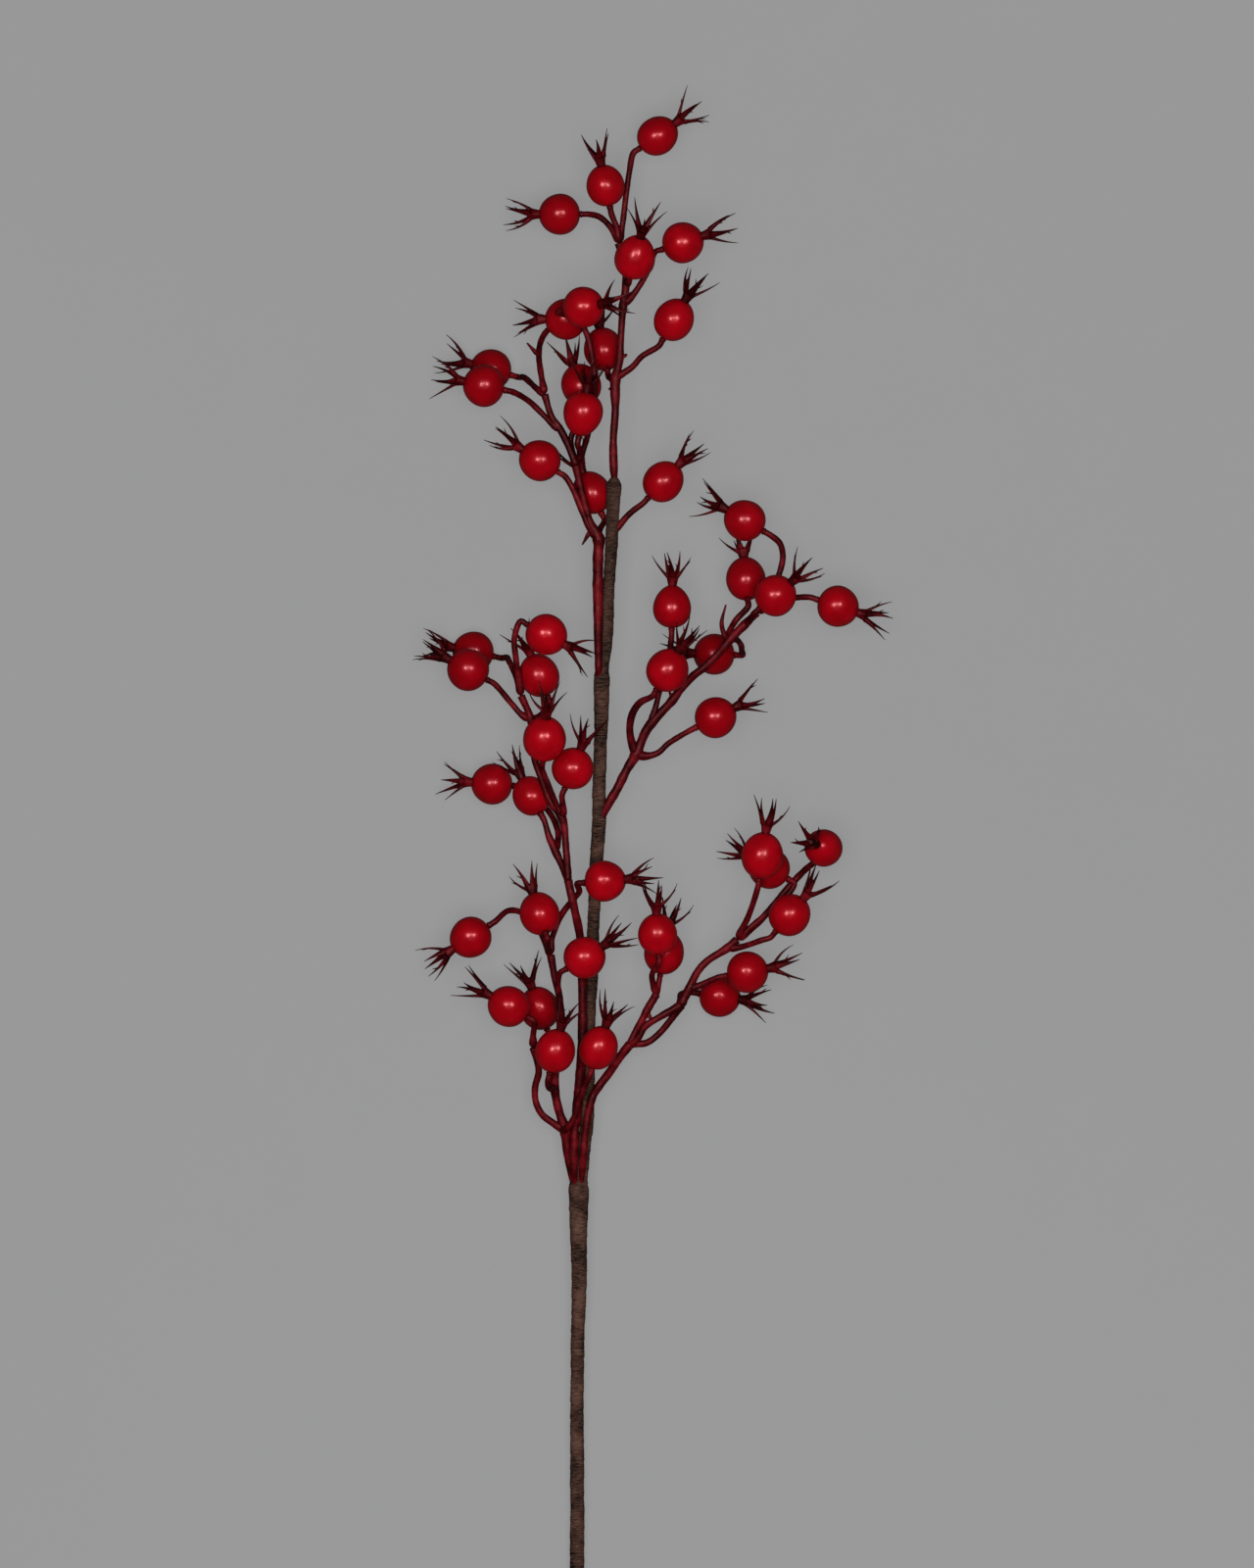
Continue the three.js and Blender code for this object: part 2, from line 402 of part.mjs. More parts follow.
// The pin through the bore and the calyx on its end, in one turned form. Every second
// column of the rim is a notch, and each column between two notches is drawn out to the
// tip of a sepal. The pin's thin end has only the sepals' columns.
function calyx(hip, number) {
  const half = halfOf(hip);
  const rim = half + NECK_LONG;
  const rows = [
    [0, -half - 1.4], [PIN, -half - 1.4], [NECK, half + 0.6], [RIM, rim],
    [RIM, rim + 1], [RIM - SEPAL_THICK, rim + 0.5], [0, rim - 0.6],
  ];
  const [pinRow, rimRow, tipRow, innerRow] = [1, 3, 4, 5];
  const geometry = new THREE.LatheGeometry(rows.map(([r, y]) => new THREE.Vector2(r, y)), 2 * SEPALS);
  const spots = geometry.attributes.position;
  const draw = draws(number);
  const roll = draw(0, 360);
  for (let column = 0; column <= 2 * SEPALS; column += 1) {
    const first = column * rows.length;
    const notch = column % 2 === 0;
    if (notch) {
      const at = first + rimRow;
      for (const row of [tipRow, innerRow]) {
        spots.setXYZ(first + row, spots.getX(at), spots.getY(at), spots.getZ(at));
      }
      const beside = ((column + 1) % (2 * SEPALS)) * rows.length + pinRow;
      spots.setXYZ(first + pinRow, spots.getX(beside), spots.getY(beside), spots.getZ(beside));
      continue;
    }
    const long = draw(...SEPAL_LONG);
    const spread = THREE.MathUtils.degToRad(draw(...SEPAL_SPREAD));
    const lean = THREE.MathUtils.degToRad(draw(-14, 14));
    const turn = (column * Math.PI) / SEPALS + lean;
    const out = RIM + long * Math.sin(spread);
    const up = rim + long * Math.cos(spread);
    spots.setXYZ(first + tipRow, out * Math.sin(turn), up, out * Math.cos(turn));
  }
  geometry.rotateY(THREE.MathUtils.degToRad(roll));
  return toSolid(geometry.applyMatrix4(place(new THREE.Object3D(), hip).matrix));
}

// The stalk of a hip, which runs on smoothly into the hip's pin.
function stalk(hip) {
  const axis = axisOf(hip);
  const end = (back) => vector(hip.at).addScaledVector(axis, -halfOf(hip) - back).toArray();
  return rod([...hip.stalk, [...end(3), PEDICEL], [...end(0.5), PEDICEL]], { sides: STALK_SIDES });
}

function branchlet(plan) {
  const solids = [...plan.shoots.map((route) => rod(route)), ...plan.spurs.map(spur)];
  for (const [number, hip] of Object.entries(plan.hips)) {
    solids.push(stalk(hip), calyx(hip, Number(number)));
  }
  return fuse(solids);
}

// The table's top as a cutter: it leaves the small flats that the sprig rests on.
const tableTop = new THREE.BoxGeometry(400, 1400, 40).translate(0, 300, -20);

function stem() {
  const sockets = Object.values(BRANCHLETS).map((plan) => {
    return rod(plan.shoots[0].slice(0, plan.footPoints), { grow: SOCKET_GROW, step: SOCKET_STEP });
  });
  const sideShoot = BRANCHLETS.branchlet_top.hips[16].stalk.slice(0, 3);
  sockets.push(rod(sideShoot, { grow: SOCKET_GROW }));
  const wrapped = rod(STEM, { sides: STEM_SIDES, exact: true });
  return wrapped.subtract(fuse([...sockets, toSolid(tableTop)]));
}

const sprig = new THREE.Group();

const stemMesh = new THREE.Mesh(toGeometry(stem()), TAPE_BROWN);
stemMesh.name = "stem";
sprig.add(stemMesh);

for (const [name, plan] of Object.entries(BRANCHLETS)) {
  const branchletMesh = new THREE.Mesh(toGeometry(branchlet(plan)), BARK_RED);
  branchletMesh.name = name;
  sprig.add(branchletMesh);

  for (const [number, hip] of Object.entries(plan.hips)) {
    const mesh = place(new THREE.Mesh(hipGeometry(hip), HIP_RED), hip);
    mesh.name = `hip_${number.padStart(2, "0")}`;
    if (hip.rests) {
      const cutter = toSolid(tableTop.clone().applyMatrix4(mesh.matrix.clone().invert()));
      mesh.geometry = toGeometry(toSolid(mesh.geometry).subtract(cutter));
    }
    sprig.add(mesh);
  }
}

const footprint = new THREE.Box3().setFromObject(sprig, true);
const middle = footprint.getCenter(new THREE.Vector3());
sprig.position.set(-middle.x, -middle.y, -footprint.min.z);
sprig.updateMatrixWorld(true);

export default sprig;
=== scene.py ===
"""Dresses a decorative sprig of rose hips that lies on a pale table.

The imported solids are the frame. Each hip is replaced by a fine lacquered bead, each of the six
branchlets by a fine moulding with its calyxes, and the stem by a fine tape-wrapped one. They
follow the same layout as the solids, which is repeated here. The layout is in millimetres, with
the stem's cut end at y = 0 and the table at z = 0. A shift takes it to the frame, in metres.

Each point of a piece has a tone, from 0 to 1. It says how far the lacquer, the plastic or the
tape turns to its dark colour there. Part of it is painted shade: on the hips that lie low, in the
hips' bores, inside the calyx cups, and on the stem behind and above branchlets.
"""

import math

import bpy
from mathutils import Matrix, Vector, noise


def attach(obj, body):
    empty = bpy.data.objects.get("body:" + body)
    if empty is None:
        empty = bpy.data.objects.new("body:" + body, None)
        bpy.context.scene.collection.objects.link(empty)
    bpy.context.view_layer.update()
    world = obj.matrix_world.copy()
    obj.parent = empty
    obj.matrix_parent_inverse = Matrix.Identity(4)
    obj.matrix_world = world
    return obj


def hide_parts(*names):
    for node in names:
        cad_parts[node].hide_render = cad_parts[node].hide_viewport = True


MM = 0.001
ROW_SHIFT = Vector((-23.036, -304.9, 0.0))  # from the layout to the frame, in millimetres

# The sizes that the solids have too, in millimetres
GAP = 0.3  # between the bore of a hip and what runs through it
PEDICEL = 1.05  # radius of the thinnest stalks
HIP_WIDE = 14.2
HIP_LONG = 16
WIDER_ACROSS = 0.6  # the hips that point across the sprig are rounder than those along it
SHORTER_ACROSS = 1.2
PIN = 0.7  # radius of the pin that runs through a hip's bore
NECK = 1.6  # radius of a calyx's neck where it leaves the hip
RIM = 2.2  # radius of its cup
NECK_LONG = 3.4
SEPALS = 5
SEPAL_LONG = (8, 10.5)
SEPAL_SPREAD = (16, 44)  # degrees from the hip's axis
SEPAL_LEAN = (-14, 14)  # degrees to a side

# How finely the pieces are drawn
STALK_SIDES = 12
STALK_STEP = 0.8  # between two rings, along a stalk
BEAD_SIDES = 48
BEAD_BANDS = 28
CALYX_SIDES = 30
SEPAL_SIDES = 8
SEPAL_RINGS = 9
BARB_SIDES = 6
STEM_SIDES = 44
STEM_STEP = 0.42
CORE_SIDES = 24

# The beads. Waves of unevenness are pairs of a depth and a rate.
BEAD_DRAWS = 100  # keeps a bead's draws apart from its calyx's
BEAD_WAVES = ((0.013, 1.1), (0.004, 3.1))
DRAWN = 0.04  # how much narrower a hip gets towards its calyx, or broader where it is below 0
# Painted shade on the hips that lie low, where the others shade them
HIGH_HIPS = 36  # the hips above this get no painted shade
LOW_HIPS = 18  # and those this much below it the most
LOW_PAINTED_SHADE = 0.34
OWN_TONE = 0.2  # the most that one hip is deeper than another at its height
END_TONE = 0.5  # added round the two ends of a hip
END_REACH = 0.3  # from an end, as a share of the hip's radius

# The calyxes
RIB_DEEP = 0.1  # as a share of the radius
SEPAL_INSET = 0.5  # how far a sepal's base lies inside the cup's edge
SEPAL_BROAD = (1.5, 0.1)  # half the width of a sepal at its base and at its tip
SEPAL_DEEP = (0.7, 0.08)
SEPAL_BOW = (-1.6, 0.9)  # how far its middle bows in or out, and to a side
SEPAL_SWAY = (-0.9, 0.9)
SEPAL_TONES = (0.1, 1.0)
BARE_SEPALS = 0.3846  # about the share of them that have no barb
BARB_LONG = (2.0, 3.2)
BARB_LEAN = 0.7
BARB_TWIST = (-0.3, 0.3)
BARB_TONE = 0.7

# The stalks
STALK_GROWN = 1.05  # times the solids' radii
STALK_WAVES = ((0.1, 0.3), (0.05, 1.1))
STALK_ROUND = 1.8  # the length over which the start of a shoot or a stalk is rounded
SHOOT_BLUNT = 0.6  # how blunt that start is: 0 is round and 1 is cut off
STALK_BLUNT = 0.04
NODE_SWELL = 0.2  # of a shoot, where a stalk leaves it
NODE_REACH = 2.6
STALK_SWELL = 0.35  # of a stalk, soon after it leaves the shoot
STALK_SWELL_AT = 1.4
STALK_REACH = 3
SPUR = 0.8  # radius of a spur and of its tip
SPUR_TIP = 0.3
# A stalk's end at its hip: how far behind the hip, and the radius. It has a small collar.
STALK_END = ((3, PEDICEL), (0.9, PEDICEL), (0.35, PEDICEL + 0.25), (-0.3, PIN + 0.1))

# The stem
STEM_EASE = 5  # steps over which its radius is evened out
STEM_TIP = 3.2  # the length over which its top end is rounded off
STEM_BLUNT = 0.03
TAPE_THICK = 0.1  # beyond the solid's radius
TAPE_PITCH = 6.2  # how far the tape climbs in one turn
TAPE_EDGE = 0.16  # how far an edge of the tape stands proud
TAPE_RISE = 0.04  # the share of a turn in which the edge rises
# The tape's unevenness: depth, rate round the stem, rate along it, and a shift of its own
TAPE_WANDER = (0.12, 1, 0.06, 0)
TAPE_LUMPS = (0.2, 0.8, 0.11, 0)
TAPE_WRINKLES = (0.09, 0.9, 0.85, 0)
TAPE_CREASES = (0.05, 1.7, 1.9, 9)
# Painted shade on the tape, which is darker there: behind the low branchlets, and above the upper left one's
# foot
BEHIND_PAINTED_SHADE = 0.18
BEHIND_AT = 285
BEHIND_REACH = 38
ABOVE_PAINTED_SHADE = 0.25
ABOVE_AT = 400
ABOVE_FADE = 2.5
CORE = 1.15  # radius of the wire in the stem's cut end
CORE_OUT = 0.35  # how far the wire stands out of it
CORE_IN = 2
CORE_BEVEL = (0.08, 0.05)  # across the wire and along it

# The camera, as the photograph frames the sprig
VIEW_MIDDLE = Vector((14.0, 360.0, 28.0))
VIEW_TALL = 560.0
CAMERA_AWAY = 4000.0
SENSOR = 36.0

# The floor and the lights, in metres. A light has its place, size and power, and whether it only
# gleams on the glosses. If not, it only lights.
FLOOR_SIZE = 8.0
WORLD_COLOUR = (0.04, 0.04, 0.042)
LIT_SPOT = (0, 0, 0.02)
SOFTBOXES = {
    "overhead": ((0, -0.1, 3.0), 1.5, 260, False),
    "gleam left": ((-0.52, 0.36, 1.7), 0.42, 40, True),
    "gleam middle": ((-0.04, 0.46, 1.7), 0.28, 10, True),
    "gleam right": ((0.46, 0.38, 1.7), 0.40, 34, True),
}

# The stem: x, y, z and radius along its middle line. The wide stretches are tape, wound over
# the feet of the branchlets.
STEM = [
    [-3.85, 0, 2.3, 2.45], [-3.85, 80, 6.4, 2.45], [-3.85, 150, 10.1, 2.2], [-3.5, 168, 11.1, 2.3],
    [-3.15, 185, 12.0, 2.55], [-3.4, 202, 13.0, 3.05], [-3.3, 213, 13.7, 3.5], [-3.3, 216.5, 13.9, 3.5],
    [-2.9, 217.6, 13.95, 2.35], [-1.5, 230, 14.7, 2.3], [-0.4, 238, 15.2, 2.3], [-0.1, 255, 16.3, 2.4],
    [0, 272, 17.5, 2.3], [1.05, 290, 18.7, 2.3], [1.9, 307, 19.9, 2.0], [3.3, 335, 21.7, 2.2],
    [4.0, 346, 22.3, 2.35], [4.1, 360, 23.1, 2.2], [4.55, 377, 24.0, 2.2], [4.9, 388, 24.5, 2.5],
    [4.9, 398, 25.0, 2.8], [5.1, 401, 25.1, 2.1], [6.8, 412, 25.7, 1.9], [7.5, 430, 26.5, 1.9],
    [8.4, 444, 27.1, 2.0], [9.1, 461, 27.9, 2.3], [9.4, 467, 28.1, 2.6], [9.5, 470, 28.2, 2.5],
]

# The branchlets. Each shoot is a row of x, y, z and an optional radius, and the first few points
# of the first one lie in or against the stem. A hip has its centre, the turn of its axis from
# +X, the lift of its calyx end above the horizontal, and the route of its stalk from the shoot
# outwards. Some hips also have their own width, length or narrowing towards the calyx.
BRANCHLETS = {
    "branchlet_top": {
        "shoots": [
            [[8.7, 450, 27.4, 1.0], [9.1, 461, 27.9, 1.0], [9.5, 468, 28.2, 1.0], [9.3, 472, 28.4, 1.5],
                [9.1, 482.5, 28.5, 1.4], [9.8, 493, 28.5, 1.4], [9.9, 505, 28.5, 1.65],
                [11.2, 510.5, 28.3, 1.3], [11.9, 521, 28, 1.2], [12.6, 531, 27.3, 1.3],
                [13.6, 538.5, 26.5, 1.2], [13, 546, 25.8, 1.15], [11.2, 553.2, 25.2, 1.3]],
        ],
        "spurs": [[[11.6, 512, 28.3], [14, 513.4, 28.6]], [[9.9, 500.5, 28.5], [7.4, 501.2, 28.6]]],
        "hips": {
            1: {"at": [25, 591.9, 22], "turn": 35, "lift": 5, "wide": 13.7,
                "stalk": [[11.2, 553.2, 25.2], [12.4, 560, 24.8], [13.6, 570, 24], [14.8, 578.6, 23]]},
            2: {"at": [6.3, 573.7, 29], "turn": 102, "lift": 10, "wide": 13.7, "long": 15,
                "stalk": [[11.2, 553.2, 25.2], [10.4, 558.5, 26.3]]},
            3: {"at": [-10.2, 563.9, 20], "turn": 180, "lift": 0,
                "stalk": [[11.2, 553.2, 25.2], [9.6, 556.8, 24.6], [7.2, 560.2, 23.6], [4, 562.9, 22.2]]},
            4: {"at": [17, 548, 36], "turn": 75, "lift": 30, "wide": 14.4, "long": 16.5, "drawn": 0.16,
                "stalk": [[13.6, 538.5, 26.5], [13.9, 539.4, 28.6]]},
            5: {"at": [34, 553.2, 32], "turn": 18, "lift": 8,
                "stalk": [[12.6, 531, 27.3], [15.2, 533.6, 27], [17.8, 537, 26.8], [21, 542.4, 27.6]]},
            6: {"at": [30.8, 525.6, 34], "turn": 60, "lift": 10, "wide": 14,
                "stalk": [[9.9, 505, 28.5], [15.8, 508.8, 29.5], [19.3, 512.6, 30.6]]},
            9: {"at": [5.6, 515.8, 16.5], "turn": 100, "lift": -22,
                "stalk": [[9.9, 505, 28.5], [8.8, 504.6, 25], [7.8, 505.4, 22.5]]},
            16: {"at": [27, 468, 30], "turn": 47, "lift": 4, "wide": 14,
                "stalk": [[8.7, 450, 27.4], [11, 452.1, 27.6], [14, 455.6, 28], [16.6, 457.9, 28.8]]},
        },
    },
    "branchlet_upper_left": {
        "shoots": [
            [[5.0, 391, 25.3, 0.8], [4.4, 396, 26.0, 0.9], [3.9, 401, 27, 1.3], [3.7, 412.5, 27.7, 1.55],
                [3.6, 430, 28.5, 1.85], [3.7, 442, 28.9, 1.9], [3.85, 447.5, 29, 1.9],
                [1.05, 452.8, 29.6, 1.35], [-1.05, 459.8, 30.4, 1.3], [-2.8, 466.8, 31, 1.3],
                [-4.2, 473.8, 31.2, 1.3]],
            [[-4.2, 473.8, 31.2, 1.25], [-7, 480.8, 31, 1.2], [-9.5, 486, 31, 1.2],
                [-13, 491.3, 31, 1.15], [-15.4, 499, 31, 1.15]],
        ],
        "spurs": [[[-17.5, 513, 25], [-21.7, 517.5, 27]], [[1, 450.5, 29.2], [-2, 445.4, 28.8]]],
        "hips": {
            7: {"at": [-1.4, 529.8, 40], "turn": 8, "lift": 35, "wide": 14.7,
                "stalk": [[-3.4, 474.8, 31.4], [-1.4, 480, 30.6], [0.2, 485.5, 28.2], [1.6, 493, 27.6],
                    [2.6, 501.5, 31.5], [2, 508.8, 32], [1, 515.5, 31.6], [-1, 522, 31.1],
                    [-4.5, 526.5, 30.9], [-8.4, 527.6, 30.9], [-10.6, 528.2, 32.6]]},
            8: {"at": [-8, 526.3, 21.5], "turn": 180, "lift": 0,
                "stalk": [[-15.4, 499, 31], [-16.8, 507, 28.6], [-17.5, 513, 25], [-16.8, 518.5, 20],
                    [-14, 523, 15], [-8.5, 526.4, 12.4], [-2, 527.6, 12.4], [3.4, 527.2, 14.2],
                    [5, 526.6, 18.4]]},
            10: {"at": [-35, 508.8, 6.9], "turn": 165, "lift": 12,
                "stalk": [[-15.4, 499, 31], [-18.2, 501.2, 26.5], [-20.8, 503.8, 19.5],
                    [-23, 505.8, 12.5]]},
            11: {"at": [-37.3, 502.5, 21.5], "turn": 168, "lift": 3, "wide": 15.2,
                "stalk": [[-9.5, 486, 31], [-13, 488.9, 30.6], [-16.8, 492.7, 29.6], [-21, 496.7, 27.6]]},
            12: {"at": [-2.45, 502.8, 23], "turn": 112, "lift": -32,
                "stalk": [[-4.2, 473.8, 31.2], [-5.6, 479, 30], [-5.8, 484.3, 29]]},
            13: {"at": [-1.75, 491.8, 37], "turn": 80, "lift": -2, "wide": 14, "drawn": -0.12,
                "stalk": [[-3.4, 474.8, 31.4], [-2.4, 478, 33.4]]},
            14: {"at": [-17.2, 475.5, 30.5], "turn": 148, "lift": 2,
                "stalk": [[3.85, 447.5, 29, 1.5], [0.2, 452.8, 29.4, 1.35], [-1.9, 457.6, 29.6, 1.3],
                    [-4.3, 463.2, 29.8, 1.2], [-6.3, 467.2, 30, 1.1]]},
            15: {"at": [1.4, 464.3, 20], "turn": 115, "lift": -8, "wide": 13.6,
                "stalk": [[3.85, 447.5, 29], [4, 450.4, 26]]},
        },
    },
    "branchlet_right": {
        "shoots": [
            [[3.6, 337, 21.9, 0.8], [4.0, 343, 22.4, 0.9], [5.2, 348.5, 23.2, 1.3], [7, 352.3, 23.8, 1.6],
                [10.5, 358.3, 24.2, 1.6], [14, 365.3, 24.3, 1.6], [17.2, 370.6, 24.4, 1.8],
                [21, 379.3, 25, 1.5], [25.2, 384.5, 25.6, 1.5], [29.8, 389.4, 26.2, 1.45],
                [33.3, 394, 26.8, 1.4], [37.5, 398.5, 27.4, 1.4], [42, 402, 28, 1.4],
                [47.3, 407.3, 28.6, 1.4], [51.2, 412, 29, 1.4], [56, 416.9, 29.2, 1.35],
                [60.4, 421.2, 28.9, 1.25]],
        ],
        "spurs": [[[30.8, 389, 26.4], [29, 393.4, 27]], [[49.6, 411, 29], [47.8, 417, 30], [49.3, 424, 31]]],
        "hips": {
            17: {"at": [56, 454.2, 28], "turn": 150, "lift": 0,
                "stalk": [[60.4, 421.2, 28.9], [63.4, 425.4, 26.6], [66.4, 430.5, 25.4],
                    [68.8, 436.3, 25.4], [69.7, 441.5, 26], [68.6, 446, 27]]},
            18: {"at": [56.5, 433.5, 21], "turn": 95, "lift": -25,
                "stalk": [[49, 409.6, 28.8], [50.6, 414.5, 27], [53, 418.6, 24.6]]},
            19: {"at": [67, 427.2, 39], "turn": 40, "lift": 15, "wide": 14.8, "long": 15,
                "stalk": [[56, 416.9, 29.2], [57.6, 418.2, 31.4]]},
            20: {"at": [89.4, 423.4, 30], "turn": -18, "lift": 0,
                "stalk": [[60.4, 421.2, 28.9], [67, 424.2, 28], [73, 426.3, 28.6]]},
            21: {"at": [30.1, 423.4, 28], "turn": 89, "lift": 0, "wide": 13.6, "long": 15.4, "drawn": 0.12,
                "stalk": [[22.4, 381.5, 25.2], [24.2, 387.3, 25], [25.6, 393, 24.6], [28, 400.5, 24.8]]},
            22: {"at": [28.5, 400.6, 37], "turn": 60, "lift": 12, "wide": 15,
                "stalk": [[17.2, 370.6, 24.4, 1.3], [15.4, 376, 26, 1.3], [15, 380.3, 27.6, 1.3],
                    [16, 385.2, 29.8, 1.3], [18.6, 389, 32, 1.25]]},
            23: {"at": [45.2, 406.6, 6.9], "turn": 178, "lift": 12,
                "stalk": [[51.2, 412, 29], [53.2, 411.6, 23.5], [54.8, 409.8, 17], [55.2, 407.8, 10.5]]},
            24: {"at": [45.7, 383.8, 28], "turn": 27, "lift": 3,
                "stalk": [[17.2, 370.6, 24.4, 1.4], [21, 370, 24.6, 1.2], [25.2, 371.2, 25],
                    [28.7, 374.4, 25.6]]},
        },
    },
    "branchlet_mid_left": {
        "shoots": [
            [[-4.3, 209.5, 15.1, 0.8], [-4.5, 216.5, 15.9, 0.8], [-5, 221, 17.3, 1.2],
                [-5, 228, 18.2, 1.5], [-4.6, 235.8, 18.8, 1.5], [-3.9, 243, 19.1, 1.75],
                [-2.8, 255, 20.3, 1.8], [-2, 269, 21.5, 1.7], [-1.9, 283, 22.6, 1.55],
                [-2.4, 300, 23.6, 1.5], [-3, 306.8, 25.5, 1.5], [-4.6, 314.5, 28, 1.5],
                [-6, 320.8, 28.8, 1.5], [-7, 325.5, 27.5, 1.55]],
            [[-7, 325.5, 27.5, 1.35], [-7.7, 335.5, 26.4, 1.25], [-9.3, 348, 26.2, 1.35],
                [-13.3, 353.4, 26.4, 1.3], [-16.5, 361.8, 26.4, 1.25], [-19, 369, 25.8, 1.2],
                [-20.3, 382.8, 26, 1.25], [-23.8, 391.5, 26.8, 1.15]],
            [[-7, 325.5, 27.5, 1.35], [-9.1, 330.5, 25.2, 1.2], [-11.6, 336, 23.4, 1.2],
                [-14, 341.5, 23, 1.2]],
        ],
        "spurs": [],
        "hips": {
            25: {"at": [-41.3, 407.4, 6.9], "turn": 168, "lift": 12,
                "stalk": [[-23.8, 391.5, 26.8], [-25.2, 397, 25.5], [-27, 401.5, 21], [-28.4, 404.2, 14],
                    [-29.2, 405.4, 8]]},
            26: {"at": [-42.9, 400.9, 22.5], "turn": 152, "lift": 4, "wide": 15.2,
                "stalk": [[-20.3, 382.8, 26], [-23.8, 384.9, 26], [-27.3, 388.8, 25.2]]},
            27: {"at": [-14.7, 413.2, 35], "turn": -28, "lift": 8, "wide": 14.7,
                "stalk": [[-23.8, 391.5, 26.8], [-24.8, 398.5, 29], [-25.8, 406, 31.2],
                    [-26.2, 412, 32.4]]},
            28: {"at": [-17.5, 398.9, 22], "turn": 112, "lift": 4,
                "stalk": [[-20.3, 382.8, 26], [-17.8, 383.8, 24]]},
            29: {"at": [-15.4, 376.1, 37], "turn": 85, "lift": 22, "wide": 15.4, "long": 16.5,
                "stalk": [[-9.3, 348, 26.2], [-11.2, 352.5, 27.4], [-13.8, 359, 29.6]]},
            30: {"at": [-5.3, 365.6, 31], "turn": 68, "lift": 5, "wide": 15, "long": 15,
                "stalk": [[-9.3, 348, 26.2], [-8.7, 350.6, 28]]},
            31: {"at": [-34.5, 360, 11], "turn": 175, "lift": 6,
                "stalk": [[-11.6, 336, 23.4], [-10.6, 341.5, 18], [-12.4, 347.5, 12.4],
                    [-16.6, 353, 8.6]]},
            32: {"at": [-20.3, 355.8, 20], "turn": 118, "lift": -15, "wide": 13.4, "long": 14.6,
                "stalk": [[-12.4, 337.8, 23.2], [-14, 341.5, 23]]},
        },
    },
    "branchlet_low_left": {
        "shoots": [
            [[-5.3, 209.5, 13.2, 0.8], [-5.5, 216.5, 13.7, 0.8], [-6.2, 221, 14, 1.3],
                [-7.35, 228.8, 14.6, 1.7], [-8, 235.8, 15.2, 1.8], [-9.8, 241, 15.8, 1.5],
                [-11.2, 246.3, 16.4, 1.45], [-11.9, 251.5, 17, 1.4], [-11.6, 257, 17.6, 1.4],
                [-10.8, 266, 18.6, 1.35], [-9.7, 276, 19.4, 1.35], [-10.4, 284.8, 20, 1.3],
                [-11.9, 291, 20.2, 1.25], [-13.3, 298.8, 20.4, 1.25]],
            [[-8, 235.8, 15.2, 1.4], [-12.6, 238.6, 15.4, 1.25], [-16.5, 241.7, 15.8, 1.2],
                [-18.7, 246.3, 16.2, 1.15], [-18.9, 251.5, 16.8, 1.15], [-17.6, 256.8, 17.6, 1.15],
                [-18.2, 260.5, 18.4, 1.1], [-19.6, 265.5, 20, 1.1]],
        ],
        "spurs": [[[-11.8, 251.5, 17], [-15.2, 252.2, 17.6]]],
        "hips": {
            33: {"at": [6.3, 325.4, 34], "turn": 5, "lift": 12, "wide": 14.7, "drawn": 0.1,
                "stalk": [[-13.3, 298.8, 20.4], [-13, 304, 20.4], [-11.2, 309.3, 21], [-9.3, 313.4, 21.8],
                    [-7, 316.6, 22.8], [-4.6, 319.4, 24.8], [-3, 321.8, 28.4]]},
            34: {"at": [-17.3, 313.8, 27], "turn": 108, "lift": -28,
                "stalk": [[-13.3, 298.8, 20.4], [-14.2, 300.6, 23.6]]},
            35: {"at": [-42, 305.1, 24], "turn": 213, "lift": 2,
                "stalk": [[-13.3, 298.8, 20.4], [-15.4, 303.6, 18.6], [-18.6, 309.4, 16.8],
                    [-23.8, 314, 18], [-28.6, 314.6, 20.6]]},
            36: {"at": [-1.05, 298.2, 35.5], "turn": 32, "lift": 10, "wide": 15,
                "stalk": [[-9.7, 276, 19.4], [-9.8, 281.6, 22.4], [-10.6, 286.4, 27.4]]},
            37: {"at": [-28.4, 280.6, 26], "turn": 150, "lift": 3,
                "stalk": [[-19.6, 265.5, 20], [-19.6, 269.8, 22.4]]},
            38: {"at": [-17.5, 279.5, 6.6], "turn": 110, "lift": 12,
                "stalk": [[-10.8, 266, 18.6], [-12, 265.6, 14]]},
            39: {"at": [-11.6, 264.8, 33], "turn": 76, "lift": 6,
                "stalk": [[-11.9, 251.5, 17], [-13, 251, 21.5], [-14, 251.6, 26.4]]},
            40: {"at": [3.9, 265.9, 31.5], "turn": 72, "lift": 5, "wide": 13.7,
                "stalk": [[-8, 235.8, 15.2], [-8.6, 236.2, 18.8], [-6.8, 237.8, 22.2],
                    [-4.6, 241.5, 23.8], [-2.9, 248, 25.4]]},
        },
    },
    "branchlet_low_right": {
        "shoots": [
            [[-2.4, 209.5, 15.1, 0.8], [-2.4, 216.5, 15.7, 0.8], [-2.1, 221, 17.1, 1.1],
                [-1.6, 227, 18.7, 1.35], [-0.9, 235.8, 19.4, 1.4], [0.3, 242.8, 19.8, 1.4],
                [1.8, 248.4, 20, 1.45], [4.2, 252.2, 20.2, 1.5], [7.7, 256.8, 20.4, 1.5],
                [11.2, 262, 20.8, 1.5], [15.05, 266.9, 21.2, 1.7]],
            [[15.05, 266.9, 21.2, 1.3], [16.8, 270.8, 21.6, 1.2], [19.6, 276, 21.8, 1.2],
                [22, 280.6, 22, 1.2], [24.5, 284.8, 22.2, 1.25]],
            [[15.05, 266.9, 21.2, 1.3], [17.8, 268.8, 22.6, 1.2], [20.4, 273.2, 23.2, 1.2],
                [25.2, 276.4, 23.4, 1.2], [33.3, 280.9, 22.6, 1.35]],
            [[15.05, 266.9, 21.2, 1.3], [21, 267.4, 20.4, 1.2], [25.4, 270.6, 20.2, 1.2],
                [30.2, 276.4, 21.2, 1.2], [33.3, 280.9, 22.6, 1.35]],
